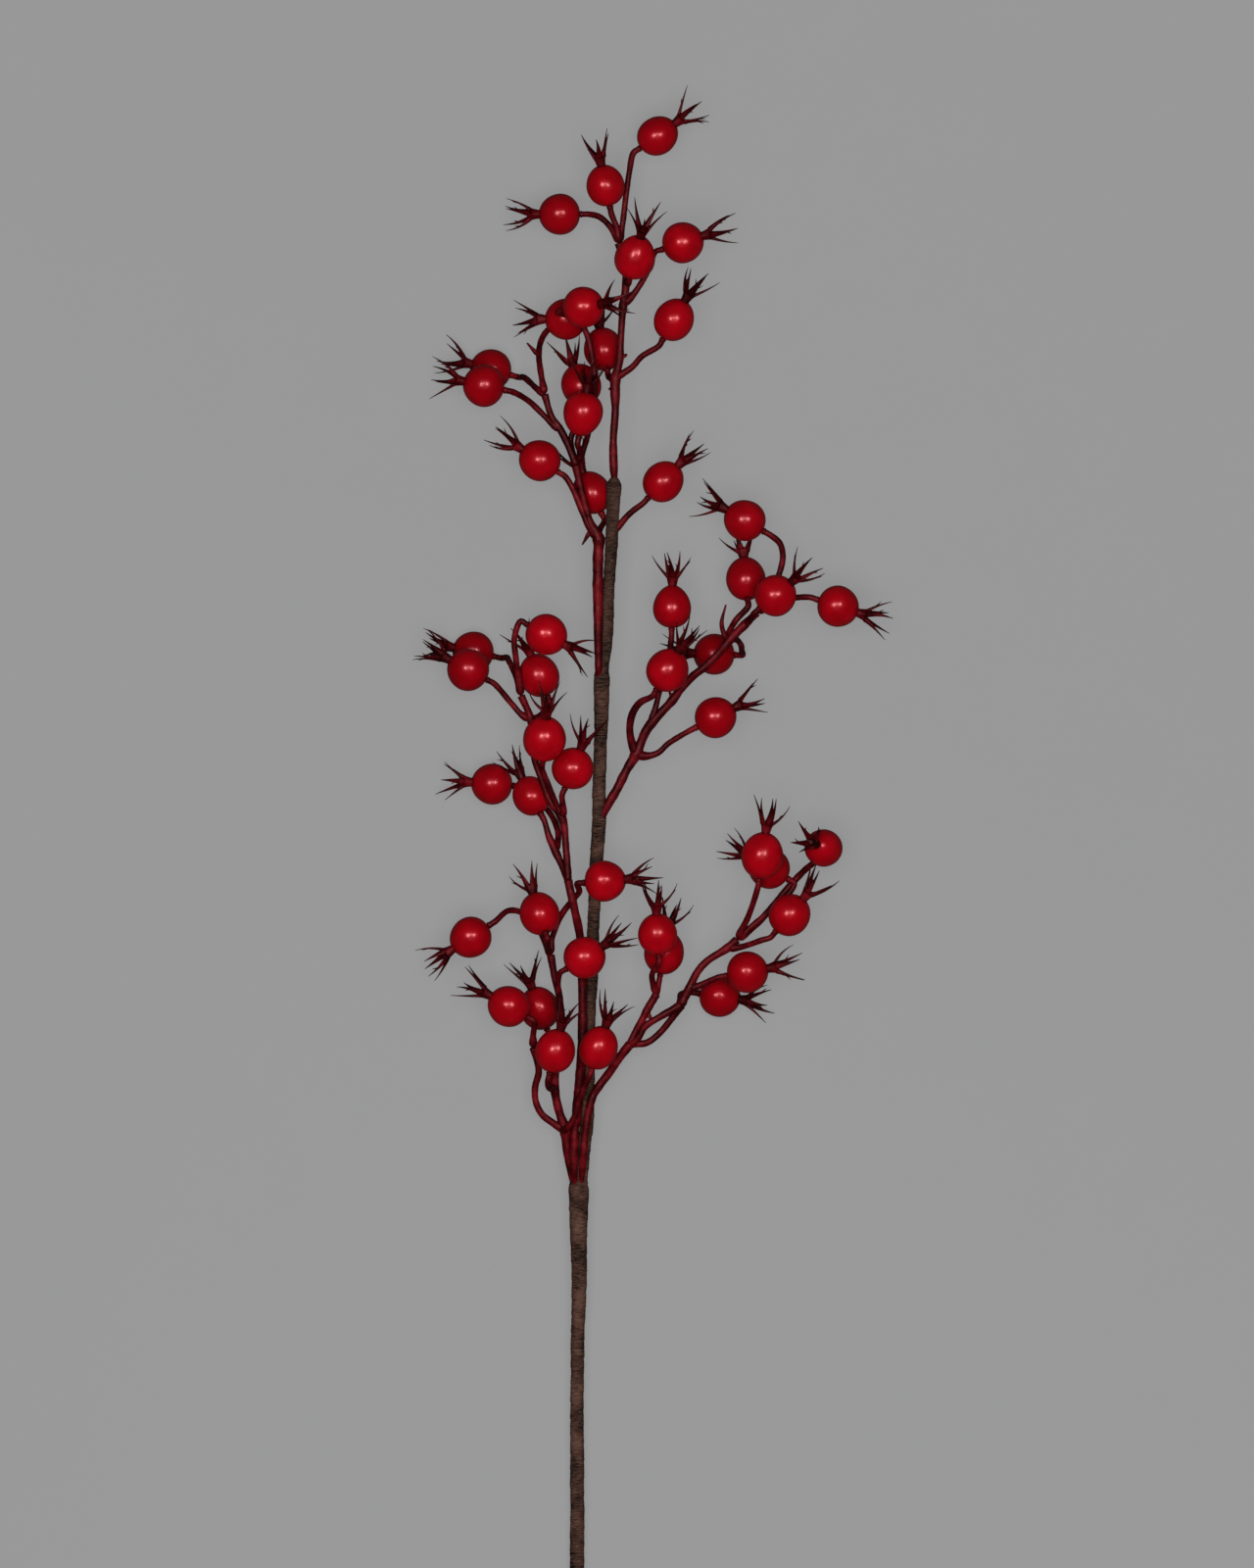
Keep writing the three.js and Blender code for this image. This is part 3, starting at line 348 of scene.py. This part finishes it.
            [[33.3, 280.9, 22.6, 1.35], [36.1, 286.5, 22.8, 1.35], [39.2, 292.8, 23.2, 1.3],
                [42.7, 296.7, 23.4, 1.3], [49.7, 301.2, 23.8, 1.25], [53.4, 304.4, 24, 1.25]],
        ],
        "spurs": [[[21, 278.6, 21.9], [23.2, 275, 23.4]]],
        "hips": {
            41: {"at": [24.9, 306.5, 37], "turn": 93, "lift": 8, "wide": 14, "long": 15,
                "stalk": [[24.5, 284.8, 22.2], [23.4, 288.4, 24.6], [22.9, 291.6, 29],
                    [24, 294.2, 33.2]]},
            42: {"at": [27.3, 299.8, 22], "turn": 80, "lift": -4,
                "stalk": [[22, 280.6, 22], [24.5, 284.8, 22.2]]},
            43: {"at": [62.3, 334.5, 35], "turn": 82, "lift": 6, "wide": 15, "long": 16.8,
                "stalk": [[53.4, 304.4, 24], [55.2, 308.2, 25.2], [57.4, 312.8, 27.4]]},
            44: {"at": [64.8, 329.9, 20], "turn": 150, "lift": 0,
                "stalk": [[53.4, 304.4, 24], [57.8, 308.4, 23.6], [62.3, 312.2, 22.8], [68, 317.6, 21.4],
                    [72.4, 321.4, 20.6]]},
            45: {"at": [84.1, 337.2, 28], "turn": 155, "lift": 65, "wide": 13.4, "long": 15.6,
                "stalk": [[53.4, 304.4, 24, 1.25], [60, 309.5, 21.4, 1.2], [66, 316, 19.6, 1.2],
                    [71, 322, 19, 1.2], [75.5, 327, 17.6, 1.2], [80, 331, 14, 1.15], [84.6, 333.6, 12],
                    [87.6, 334.6, 13.6]]},
            46: {"at": [72.1, 313.3, 31], "turn": 50, "lift": 12, "wide": 14.7,
                "stalk": [[49.7, 301.2, 23.8], [54, 301.6, 25], [58.5, 302.9, 27], [62, 304.2, 28.8]]},
            47: {"at": [57.1, 292.8, 26], "turn": 10, "lift": 3, "wide": 15,
                "stalk": [[36.1, 286.5, 22.8], [39.6, 287.8, 23.4]]},
            48: {"at": [47.4, 283.7, 6.9], "turn": -8, "lift": 12,
                "stalk": [[33.3, 280.9, 22.6], [33, 282.4, 17.5], [33.4, 284.6, 12]]},
        },
    },
}


class Form:
    """The points and faces of one piece, with a tone for each point."""

    def __init__(self):
        self.spots = []
        self.faces = []
        self.tones = []

    def skin(self, rings, tones, loop=False):
        """Joins rings of points by bands of faces. The ends are closed, or joined in a loop."""
        sides = len(rings[0])
        count = len(rings)
        first = len(self.spots)
        for ring, tone in zip(rings, tones):
            self.spots.extend(ring)
            self.tones.extend([tone] * sides)
        for i in range(count if loop else count - 1):
            near = first + i * sides
            far = first + ((i + 1) % count) * sides
            for k in range(sides):
                after = (k + 1) % sides
                self.faces.append((near + k, near + after, far + after, far + k))
        if not loop:
            last = first + (count - 1) * sides
            self.faces.append(tuple(first + k for k in reversed(range(sides))))
            self.faces.append(tuple(last + k for k in range(sides)))

    def piece(self, name, material, node):
        """Makes the object, in metres in the frame. It may stand for a node of the solids."""
        mesh = bpy.data.meshes.new(name)
        points = []
        for spot in self.spots:
            above = Vector((spot.x, spot.y, max(spot.z, 0.0)))
            points.append((above + ROW_SHIFT) * MM)
        mesh.from_pydata(points, [], self.faces)
        mesh.attributes.new("dark", "FLOAT", "POINT").data.foreach_set("value", self.tones)
        mesh.materials.append(material)
        mesh.shade_smooth()
        made = bpy.data.objects.new(name, mesh)
        bpy.context.collection.objects.link(made)
        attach(made, "root")
        if node:
            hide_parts(node)


def mix(low, high, share):
    return low + (high - low) * share


def bump_at(distance, reach):
    """1 at no distance, and falling smoothly to nothing a few reaches away."""
    return math.exp(-((distance / reach) ** 2))


def uneven(level, spot, waves):
    """The level, a little more or less from place to place."""
    return sum((depth * noise.noise(spot * rate) for depth, rate in waves), level)


def walk(route, step):
    """Points and radii in short steps along a centripetal Catmull-Rom curve through the route."""
    spots = [Vector(point[:3]) for point in route]
    radii = [point[3] if len(point) > 3 else PEDICEL for point in route]
    spots = [spots[0] * 2 - spots[1], *spots, spots[-1] * 2 - spots[-2]]
    steps = []
    for i, radius in enumerate(radii[:-1]):
        a, b, c, d = spots[i:i + 4]
        before, span, after = ((q - p).length ** 0.5 for p, q in ((a, b), (b, c), (c, d)))
        leave = ((b - a) / before - (c - a) / (before + span) + (c - b) / span) * span
        arrive = ((c - b) / span - (d - b) / (span + after) + (d - c) / after) * span
        count = max(1, math.ceil((c - b).length / step))
        for k in range(count):
            t = k / count
            here = b * (2 * t**3 - 3 * t**2 + 1) + c * (3 * t**2 - 2 * t**3)
            here += leave * (t**3 - 2 * t**2 + t) + arrive * (t**3 - t**2)
            steps.append((here, mix(radius, radii[i + 1], t)))
    steps.append((spots[-2], radii[-1]))
    return steps


def plain_surface(spot, radius, length, turn):
    """For a rod that is smooth and round."""
    return radius


def rod(form, steps, sides, surface, shade=lambda here: 0.0):
    """Adds a rod along the steps of points and radii.

    "surface" gives the radius at a place, from how far along and how far round it is. "shade"
    gives the tone there.
    """
    across = None
    length = 0.0
    rings = []
    for i, (here, radius) in enumerate(steps):
        ahead = steps[min(i + 1, len(steps) - 1)][0]
        behind = steps[max(i - 1, 0)][0]
        along = (ahead - behind).normalized()
        across = along.orthogonal() if across is None else across - along * across.dot(along)
        across.normalize()
        beside = along.cross(across)
        length += (here - behind).length
        ring = []
        for k in range(sides):
            turn = math.tau * k / sides
            reach = surface(here, radius, length, turn)
            ring.append(here + across * (reach * math.cos(turn)) + beside * (reach * math.sin(turn)))
        rings.append(ring)
    form.skin(rings, [shade(here) for here, _ in steps])


def turned(place, profile, sides, surface):
    """Rings of a form turned about its own +Y, then put in its place. "surface" scales a radius."""
    rings = []
    for radius, height in profile:
        ring = []
        for k in range(sides):
            turn = math.tau * k / sides
            reach = radius * surface(turn, height)
            ring.append(place @ Vector((reach * math.sin(turn), height, reach * math.cos(turn))))
        rings.append(ring)
    return rings


def axis_of(hip):
    turn = math.radians(hip["turn"])
    lift = math.radians(hip["lift"])
    return Vector((math.cos(lift) * math.cos(turn), math.cos(lift) * math.sin(turn), math.sin(lift)))


def across_of(hip):
    """How far a hip points across the sprig: 0 along it and 1 straight across."""
    return math.cos(math.radians(hip["turn"])) ** 2


def half_of(hip):
    return hip.get("long", HIP_LONG - SHORTER_ACROSS * across_of(hip)) / 2


def radius_of(hip):
    return hip.get("wide", HIP_WIDE + WIDER_ACROSS * across_of(hip)) / 2


def seat(hip):
    """Takes a hip from its own +Y to its place in the layout."""
    turn = Vector((0, 1, 0)).rotation_difference(axis_of(hip))
    return Matrix.Translation(hip["at"]) @ turn.to_matrix().to_4x4()


def draws(seed):
    """The same draws for the same hip each time, as the solids have, from a congruential row."""
    whole, spread, factor, step = 2**32, 2654435761, 1664525, 1013904223
    state = (seed * spread) % whole

    def draw(low, high):
        nonlocal state
        state = (state * factor + step) % whole
        return low + (high - low) * state / whole

    return draw


def bead(number, hip, lacquer):
    """A lacquered hip: a slightly uneven ovoid round its bore, with a rounded lip at the calyx.

    The hips that lie low among the others are darkened with painted shade, as the others shade them.
    """
    half = half_of(hip)
    wide = radius_of(hip)
    drawn = hip.get("drawn", DRAWN)
    first = math.asin((PIN + GAP) / wide)
    last = math.pi - math.asin((NECK + GAP) / wide)
    draw = draws(BEAD_DRAWS + number)
    # painted shade on the hips that lie low among the others, plus a deeper red of each hip's own
    low = min(1, max(0, (HIGH_HIPS - hip["at"][2]) / LOW_HIPS))
    tone = LOW_PAINTED_SHADE * low + draw(0.0, OWN_TONE)
    start = Vector((draw(0, 90), draw(0, 90), draw(0, 90)))
    profile = []
    tones = []
    for band in range(BEAD_BANDS + 1):
        angle = mix(first, last, band / BEAD_BANDS)
        height = -math.cos(angle)
        ends = band in (0, BEAD_BANDS)
        taper = 1 if ends else 1 - drawn * height
        profile.append((wide * math.sin(angle) * taper, half * height))
        tones.append(tone + END_TONE * bump_at(math.sin(angle), END_REACH))
    rim, top = profile[-1]
    lip_and_bore = [(rim - 0.12, top - 0.1), (rim - 0.2, top - 0.5), (PIN + 0.15, 0.4 - half)]
    profile += lip_and_bore
    # painted shade in the lip and the bore
    tones += [1.0] * len(lip_and_bore)

    def surface(turn, height):
        spot = start + Vector((math.sin(turn), height / wide, math.cos(turn)))
        return uneven(1, spot, BEAD_WAVES)

    form = Form()
    form.skin(turned(seat(hip), profile, BEAD_SIDES, surface), tones, loop=True)
    form.piece(f"bead_{number:02d}", lacquer, f"hip_{number:02d}")


def barb(form, place, root, out, draw):
    """A short thorn on a sepal."""
    points = []
    for reach, radius in ((-0.2, 0.34), (0.9, 0.27), (draw(*BARB_LONG), 0.07)):
        points.append((place @ (root + out * reach), radius))
    rod(form, points, BARB_SIDES, plain_surface, lambda here: BARB_TONE)


def sepal(form, place, base, tip, side, thick, draw):
    """A pointed sepal that bows between its base and its tip. More than half have a barb."""
    bow = thick * draw(*SEPAL_BOW) + side * draw(*SEPAL_SWAY)
    knee = (base + tip) / 2 + bow
    rings = []
    middles = []
    tones = []
    for i in range(SEPAL_RINGS + 1):
        t = i / SEPAL_RINGS
        here = base * (1 - t) ** 2 + knee * (2 * t * (1 - t)) + tip * t**2
        broad = mix(*SEPAL_BROAD, t**0.7)
        deep = mix(*SEPAL_DEEP, t**0.8)
        ring = []
        for k in range(SEPAL_SIDES):
            turn = math.tau * k / SEPAL_SIDES
            ring.append(place @ (here + side * (broad * math.cos(turn)) + thick * (deep * math.sin(turn))))
        rings.append(ring)
        middles.append(here)
        tones.append(mix(*SEPAL_TONES, t))
    form.skin(rings, tones)
    if draw(0, 1) > BARE_SEPALS:
        ring = int(draw(3, SEPAL_RINGS - 3))
        root = middles[ring]
        ahead = (middles[ring + 1] - root).normalized()
        lean = BARB_LEAN if draw(-1, 1) > 0 else -BARB_LEAN
        out = (ahead + side * lean + thick * draw(*BARB_TWIST)).normalized()
        barb(form, place, root, out, draw)


def calyx(form, number, hip):
    """The pin through the bore, the ribbed neck beyond the hip, its open cup and the sepals."""
    half = half_of(hip)
    rim = half + NECK_LONG
    place = seat(hip)
    draw = draws(number)
    roll = math.radians(draw(0, 360))
    # Radius, height and tone, from the pin's foot to the bottom of the cup. The tone that deepens inside the
    # cup is painted shade.
    rows = [
        (PIN, -half - 1.4, 0.1), (PIN, -half, 0.1), (PIN + 0.2, half - 3, 0.1),
        (NECK - 0.15, half - 0.9, 0.1), (NECK, half - 0.1, 0.1), (NECK + 0.1, half + 0.6, 0.1),
        (NECK + 0.2, half + 1.2, 0.05), (NECK + 0.35, half + 1.9, 0.0), (NECK + 0.55, half + 2.6, 0.0),
        (RIM + 0.15, rim - 0.2, 0.1), (RIM + 0.2, rim + 0.15, 0.2), (RIM - 0.2, rim + 0.2, 0.5),
        (RIM - 0.8, rim - 0.3, 0.9), (0.5, rim - 0.9, 1.0),
    ]

    def surface(turn, height):
        """Five ribs, which grow from the hip to the rim and run on into the sepals."""
        grown = min(1, max(0, (height - half) / NECK_LONG))
        return 1 + RIB_DEEP * grown * math.cos(SEPALS * (turn - roll) - math.pi)

    profile = [(radius, height) for radius, height, _ in rows]
    form.skin(turned(place, profile, CALYX_SIDES, surface), [tone for _, _, tone in rows])

    plans = []
    for column in range(1, 2 * SEPALS, 2):
        long = draw(*SEPAL_LONG)
        spread = math.radians(draw(*SEPAL_SPREAD))
        lean = math.radians(draw(*SEPAL_LEAN))
        plans.append((column * math.pi / SEPALS, long, spread, lean))
    for turn, long, spread, lean in plans:
        root = turn + roll
        aim = turn + lean + roll
        base = Vector((math.sin(root), 0, math.cos(root))) * (RIM - SEPAL_INSET)
        base.y = rim - SEPAL_INSET
        tip = Vector((math.sin(aim), 0, math.cos(aim))) * (RIM + long * math.sin(spread))
        tip.y = rim + long * math.cos(spread)
        side = Vector((math.cos(root), 0, -math.sin(root)))
        thick = (tip - base).cross(side).normalized()
        sepal(form, place, base, tip, side, thick, draw)


def branchlet(name, plan, plastic):
    """The moulding of a branchlet: its shoots, spurs and stalks, swollen where a stalk leaves."""
    form = Form()
    nodes = [Vector(hip["stalk"][0][:3]) for hip in plan["hips"].values()]
    nodes += [Vector(route[0][:3]) for route in plan["spurs"]]

    def grown(spot, radius):
        return radius * uneven(STALK_GROWN, spot, STALK_WAVES)

    def rounded(length, blunt):
        return math.sqrt(min(1, blunt + length / STALK_ROUND))

    def shoot_surface(spot, radius, length, turn):
        near = min((spot - node).length for node in nodes)
        swell = 1 + NODE_SWELL * bump_at(near, NODE_REACH)
        return grown(spot, radius) * rounded(length, SHOOT_BLUNT) * swell

    def stalk_surface(spot, radius, length, turn):
        swell = 1 + STALK_SWELL * bump_at(length - STALK_SWELL_AT, STALK_REACH)
        return grown(spot, radius) * rounded(length, STALK_BLUNT) * swell

    for route in plan["shoots"]:
        rod(form, walk(route, STALK_STEP), STALK_SIDES, shoot_surface)
    for route in plan["spurs"]:
        tapered = [[*point, SPUR] for point in route[:-1]] + [[*route[-1], SPUR_TIP]]
        rod(form, walk(tapered, STALK_STEP), STALK_SIDES, stalk_surface)
    for number, hip in plan["hips"].items():
        ends = []
        for back, radius in STALK_END:
            ends.append([*(Vector(hip["at"]) - axis_of(hip) * (half_of(hip) + back)), radius])
        rod(form, walk([*hip["stalk"], *ends], STALK_STEP), STALK_SIDES, stalk_surface)
        calyx(form, number, hip)
    form.piece(f"moulded_{name}", plastic, name)


def stem(tape):
    """The stem, with the overlapping turns of its tape, crosswise wrinkles and lumps."""
    form = Form()
    steps = walk(STEM, STEM_STEP)
    eased = []
    for i, (here, _) in enumerate(steps):
        near = [radius for _, radius in steps[max(0, i - STEM_EASE):i + STEM_EASE + 1]]
        eased.append((here, sum(near) / len(near)))
    top = Vector(STEM[-1][:3])

    # painted shade on the tape behind the low branchlets and above the upper left one's foot
    def shade(here):
        behind = bump_at(here.y - BEHIND_AT, BEHIND_REACH)
        above = 1 / (1 + math.exp((ABOVE_AT - here.y) / ABOVE_FADE))
        return BEHIND_PAINTED_SHADE * behind + ABOVE_PAINTED_SHADE * above

    def surface(spot, radius, length, turn):
        ring = Vector((math.cos(turn), math.sin(turn), 0))

        def waves(depth, round_rate, along_rate, shift):
            return depth * noise.noise(ring * round_rate + Vector((shift, 0, length * along_rate)))

        climb = (length / TAPE_PITCH + turn / math.tau + waves(*TAPE_WANDER)) % 1
        edge = TAPE_EDGE * (1 - climb) * min(1, climb / TAPE_RISE)
        rough = waves(*TAPE_LUMPS) + waves(*TAPE_WRINKLES) + waves(*TAPE_CREASES)
        rounded = math.sqrt(min(1, STEM_BLUNT + (top - spot).length / STEM_TIP))
        return (radius + edge + rough + TAPE_THICK) * rounded

    rod(form, eased, STEM_SIDES, surface, shade)
    form.piece("wrapped_stem", tape, "stem")


def stem_core(wire):
    """The wire in the stem's cut end."""
    form = Form()
    x, _, z, _ = STEM[0]
    across, along = CORE_BEVEL
    rings = ((-CORE_OUT, CORE - across), (along - CORE_OUT, CORE), (0, CORE), (CORE_IN, CORE))
    rod(form, [(Vector((x, y, z)), radius) for y, radius in rings], CORE_SIDES, plain_surface)
    form.piece("stem_core", wire, None)


class Shader:
    """Builds a material round its Principled shader, with short calls for the nodes it needs."""

    def __init__(self, name, **sockets):
        self.material = bpy.data.materials.new(name)
        self.material.use_nodes = True
        self.nodes = self.material.node_tree.nodes
        self.links = self.material.node_tree.links
        self.shader = self.nodes["Principled BSDF"]
        for socket, value in sockets.items():
            self.shader.inputs[socket.replace("_", " ")].default_value = value
        self.place = self.nodes.new("ShaderNodeTexCoord").outputs["Object"]

    def join(self, source, target):
        self.links.new(source, target)

    def stretch(self, scale):
        """Object coordinates, stretched by a scale for each axis."""
        node = self.nodes.new("ShaderNodeMapping")
        node.inputs["Scale"].default_value = scale
        self.join(self.place, node.inputs["Vector"])
        return node.outputs["Vector"]

    def noise(self, scale, detail, place=None):
        node = self.nodes.new("ShaderNodeTexNoise")
        node.inputs["Scale"].default_value = scale
        node.inputs["Detail"].default_value = detail
        self.join(place or self.place, node.inputs["Vector"])
        return node.outputs["Fac"]

    def tone(self):
        """The tone that the points of a piece carry."""
        node = self.nodes.new("ShaderNodeAttribute")
        node.attribute_name = "dark"
        return node.outputs["Fac"]

    def ramp(self, source, stops):
        """Colours along the source value, as (position, colour) stops."""
        node = self.nodes.new("ShaderNodeValToRGB")
        ramp = node.color_ramp
        while len(ramp.elements) < len(stops):
            ramp.elements.new(0.5)
        for element, (position, colour) in zip(ramp.elements, stops):
            element.position = position
            element.color = (*colour, 1)
        self.join(source, node.inputs["Fac"])
        return node.outputs["Color"]

    def blend(self, share, first, second):
        """Goes from the first colour to the second. Each is a tuple or another node's output."""
        node = self.nodes.new("ShaderNodeMix")
        node.data_type = "RGBA"
        self.join(share, node.inputs["Factor"])
        for socket, colour in (("A", first), ("B", second)):
            target = next(each for each in node.inputs if each.name == socket and each.type == "RGBA")
            if isinstance(colour, tuple):
                target.default_value = (*colour, 1)
            else:
                self.join(colour, target)
        return next(each for each in node.outputs if each.type == "RGBA")

    def spread(self, source, low, high):
        """The source value, taken from 0.3 to 0.7 and spread from low to high."""
        node = self.nodes.new("ShaderNodeMapRange")
        for socket, value in (("From Min", 0.3), ("From Max", 0.7), ("To Min", low), ("To Max", high)):
            node.inputs[socket].default_value = value
        self.join(source, node.inputs["Value"])
        return node.outputs["Result"]

    def bump(self, source, distance, after=None):
        """Raises the source by a distance in metres, after another bump where there is one."""
        node = self.nodes.new("ShaderNodeBump")
        node.inputs["Distance"].default_value = distance
        node.inputs["Strength"].default_value = 1.0
        self.join(source, node.inputs["Height"])
        if after:
            self.join(after, node.inputs["Normal"])
        self.join(node.outputs["Normal"], self.shader.inputs["Normal"])
        return node.outputs["Normal"]

    def finish(self, colour, roughness):
        self.join(colour, self.shader.inputs["Base Color"])
        self.join(roughness, self.shader.inputs["Roughness"])
        return self.material


def hip_lacquer():
    """Thick red lacquer: a little uneven in depth, with a reddish gleam under a thin clear coat."""
    deep = (0.108, 0.0003, 0.0016)
    bright = (0.148, 0.0005, 0.0025)
    # the dark red of the painted shade on the low hips and in the bores, and of the darker ends
    painted_shade_and_ends = (0.046, 0.0002, 0.0009)
    red_gleam = (1.0, 0.14, 0.17, 1)
    make = Shader(
        "hip lacquer", IOR=1.4, Specular_IOR_Level=0.28, Specular_Tint=red_gleam,
        Coat_Weight=0.10, Coat_Roughness=0.17, Coat_IOR=1.45,
    )
    depth = make.ramp(make.noise(150, 4), [(0.35, deep), (0.65, bright)])
    colour = make.blend(make.tone(), depth, painted_shade_and_ends)
    make.bump(make.noise(420, 2), 0.00004)
    return make.finish(colour, make.spread(make.noise(260, 3), 0.25, 0.33))


def branchlet_plastic():
    """Dark maroon moulded plastic with a low gloss, in places nearly black, as are the sepals' tips."""
    shadow = (0.0090, 0.0002, 0.0004)
    maroon = (0.0260, 0.0005, 0.0011)
    worn = (0.0520, 0.0018, 0.0030)
    nearly_black = (0.0058, 0.0002, 0.0004)
    # dark at the sepals' tips, and also the painted shade inside the calyx cups
    sepal_tip_and_cup_shade = (0.0035, 0.0003, 0.0003)
    red_gleam = (1.0, 0.3, 0.32, 1)
    make = Shader("branchlet plastic", IOR=1.36, Specular_IOR_Level=0.18, Specular_Tint=red_gleam)
    mottle = make.ramp(make.noise(220, 5), [(0.34, shadow), (0.50, maroon), (0.66, worn)])
    stretches = make.blend(make.spread(make.noise(45, 2), -0.6, 0.95), mottle, nearly_black)
    colour = make.blend(make.tone(), stretches, sepal_tip_and_cup_shade)
    grain = make.bump(make.noise(900, 4), 0.00012)
    make.bump(make.noise(2600, 3), 0.00004, after=grain)
    return make.finish(colour, make.spread(make.noise(500, 3), 0.36, 0.56))


def stem_tape():
    """Brown crepe-paper tape: mottled, matt, and wrinkled across the stem."""
    black = (0.0012, 0.0003, 0.0002)
    umber = (0.0110, 0.0044, 0.0026)
    brown = (0.0225, 0.0100, 0.0066)
    tan = (0.0380, 0.0190, 0.0132)
    # the next two are painted shade in the creases and painted light on their ridges
    painted_crease_shade = (0.0030, 0.0010, 0.0006)
    painted_ridge_light = (0.0540, 0.0270, 0.0190)
    # the tape's colour under the painted shade that the stem's tone carries
    painted_shade_tape = (0.0034, 0.0011, 0.0008)
    make = Shader("stem tape", IOR=1.35, Specular_IOR_Level=0.1)
    patches = make.ramp(make.noise(120, 6), [(0.40, black), (0.46, umber), (0.54, brown), (0.62, tan)])
    crosswise = make.noise(1.0, 5, make.stretch((420, 2300, 420)))
    # painted shade and light along the crosswise creases that the bump below raises
    wrinkle_light_and_shade = make.ramp(crosswise, [(0.40, painted_crease_shade), (0.60, painted_ridge_light)])
    mottle = make.blend(make.spread(make.noise(300, 4), 0.20, 0.58), patches, wrinkle_light_and_shade)
    colour = make.blend(make.tone(), mottle, painted_shade_tape)
    creases = make.bump(crosswise, 0.00045)
    make.bump(make.noise(3200, 3), 0.00006, after=creases)
    return make.finish(colour, make.spread(make.noise(700, 3), 0.68, 0.88))


def core_wire():
    """Cut steel wire, with the drag marks of the cutter across its end."""
    dull = (0.20, 0.19, 0.18)
    fresh = (0.48, 0.47, 0.45)
    make = Shader("core wire", Metallic=1.0)
    marks = make.noise(1.0, 3, make.stretch((6000, 300, 300)))
    colour = make.ramp(marks, [(0.35, dull), (0.65, fresh)])
    make.bump(marks, 0.00003)
    return make.finish(colour, make.spread(make.noise(2500, 2), 0.35, 0.55))


def floor_panel():
    """A grey panel, lit from within as well, which keeps the shadows on it faint."""
    glow = (0.237, 0.237, 0.237, 1)
    dim = (0.0265, 0.0265, 0.0268)
    pale = (0.0300, 0.0300, 0.0303)
    make = Shader(
        "floor panel", IOR=1.3, Specular_IOR_Level=0.1, Emission_Color=glow, Emission_Strength=1.0,
    )
    colour = make.ramp(make.noise(1.3, 2), [(0.3, dim), (0.7, pale)])
    return make.finish(colour, make.spread(make.noise(40, 2), 0.82, 0.9))


def plane(name, size, material):
    mesh = bpy.data.meshes.new(name)
    reach = size / 2
    corners = [(-reach, -reach, 0), (reach, -reach, 0), (reach, reach, 0), (-reach, reach, 0)]
    mesh.from_pydata(corners, [], [(0, 1, 2, 3)])
    mesh.materials.append(material)
    made = bpy.data.objects.new(name, mesh)
    bpy.context.collection.objects.link(made)
    return made


def softbox(name, spot, size, power, only_gleams):
    """A square area light that faces the middle of the sprig and isn't seen itself."""
    light = bpy.data.lights.new(name, "AREA")
    light.shape = "SQUARE"
    light.size = size
    light.energy = power
    made = bpy.data.objects.new(name, light)
    made.location = spot
    made.rotation_euler = (Vector(spot) - Vector(LIT_SPOT)).to_track_quat("Z", "Y").to_euler()
    made.visible_camera = False
    made.visible_glossy = only_gleams
    made.visible_diffuse = not only_gleams
    bpy.context.collection.objects.link(made)


def set_light():
    scene = bpy.context.scene
    scene.view_settings.view_transform = "Standard"
    world = bpy.data.worlds.new("studio")
    world.use_nodes = True
    world.node_tree.nodes["Background"].inputs["Color"].default_value = (*WORLD_COLOUR, 1)
    scene.world = world
    for name, (spot, size, power, only_gleams) in SOFTBOXES.items():
        softbox(name, spot, size, power, only_gleams)


def set_camera():
    """Looks straight down, with the sprig's tip at the top of the picture."""
    lens = bpy.data.cameras.new("camera")
    lens.sensor_fit = "VERTICAL"
    lens.sensor_height = SENSOR
    lens.lens = SENSOR * CAMERA_AWAY / VIEW_TALL
    made = bpy.data.objects.new("camera", lens)
    made.location = (VIEW_MIDDLE + ROW_SHIFT + Vector((0, 0, CAMERA_AWAY))) * MM
    bpy.context.collection.objects.link(made)
    bpy.context.scene.camera = made


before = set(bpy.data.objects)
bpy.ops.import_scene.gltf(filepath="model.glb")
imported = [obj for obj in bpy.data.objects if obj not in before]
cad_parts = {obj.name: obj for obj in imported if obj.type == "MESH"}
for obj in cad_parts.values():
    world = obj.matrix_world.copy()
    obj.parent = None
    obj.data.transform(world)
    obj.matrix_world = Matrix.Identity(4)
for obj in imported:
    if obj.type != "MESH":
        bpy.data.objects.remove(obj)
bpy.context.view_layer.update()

set_camera()
set_light()
floor = plane("floor", FLOOR_SIZE, floor_panel())
floor.visible_glossy = False  # no pale rims on the hips, as the photograph has none

lacquer = hip_lacquer()
plastic = branchlet_plastic()
for name, plan in BRANCHLETS.items():
    branchlet(name, plan, plastic)
    for number, hip in plan["hips"].items():
        bead(number, hip, lacquer)
stem(stem_tape())
stem_core(core_wire())
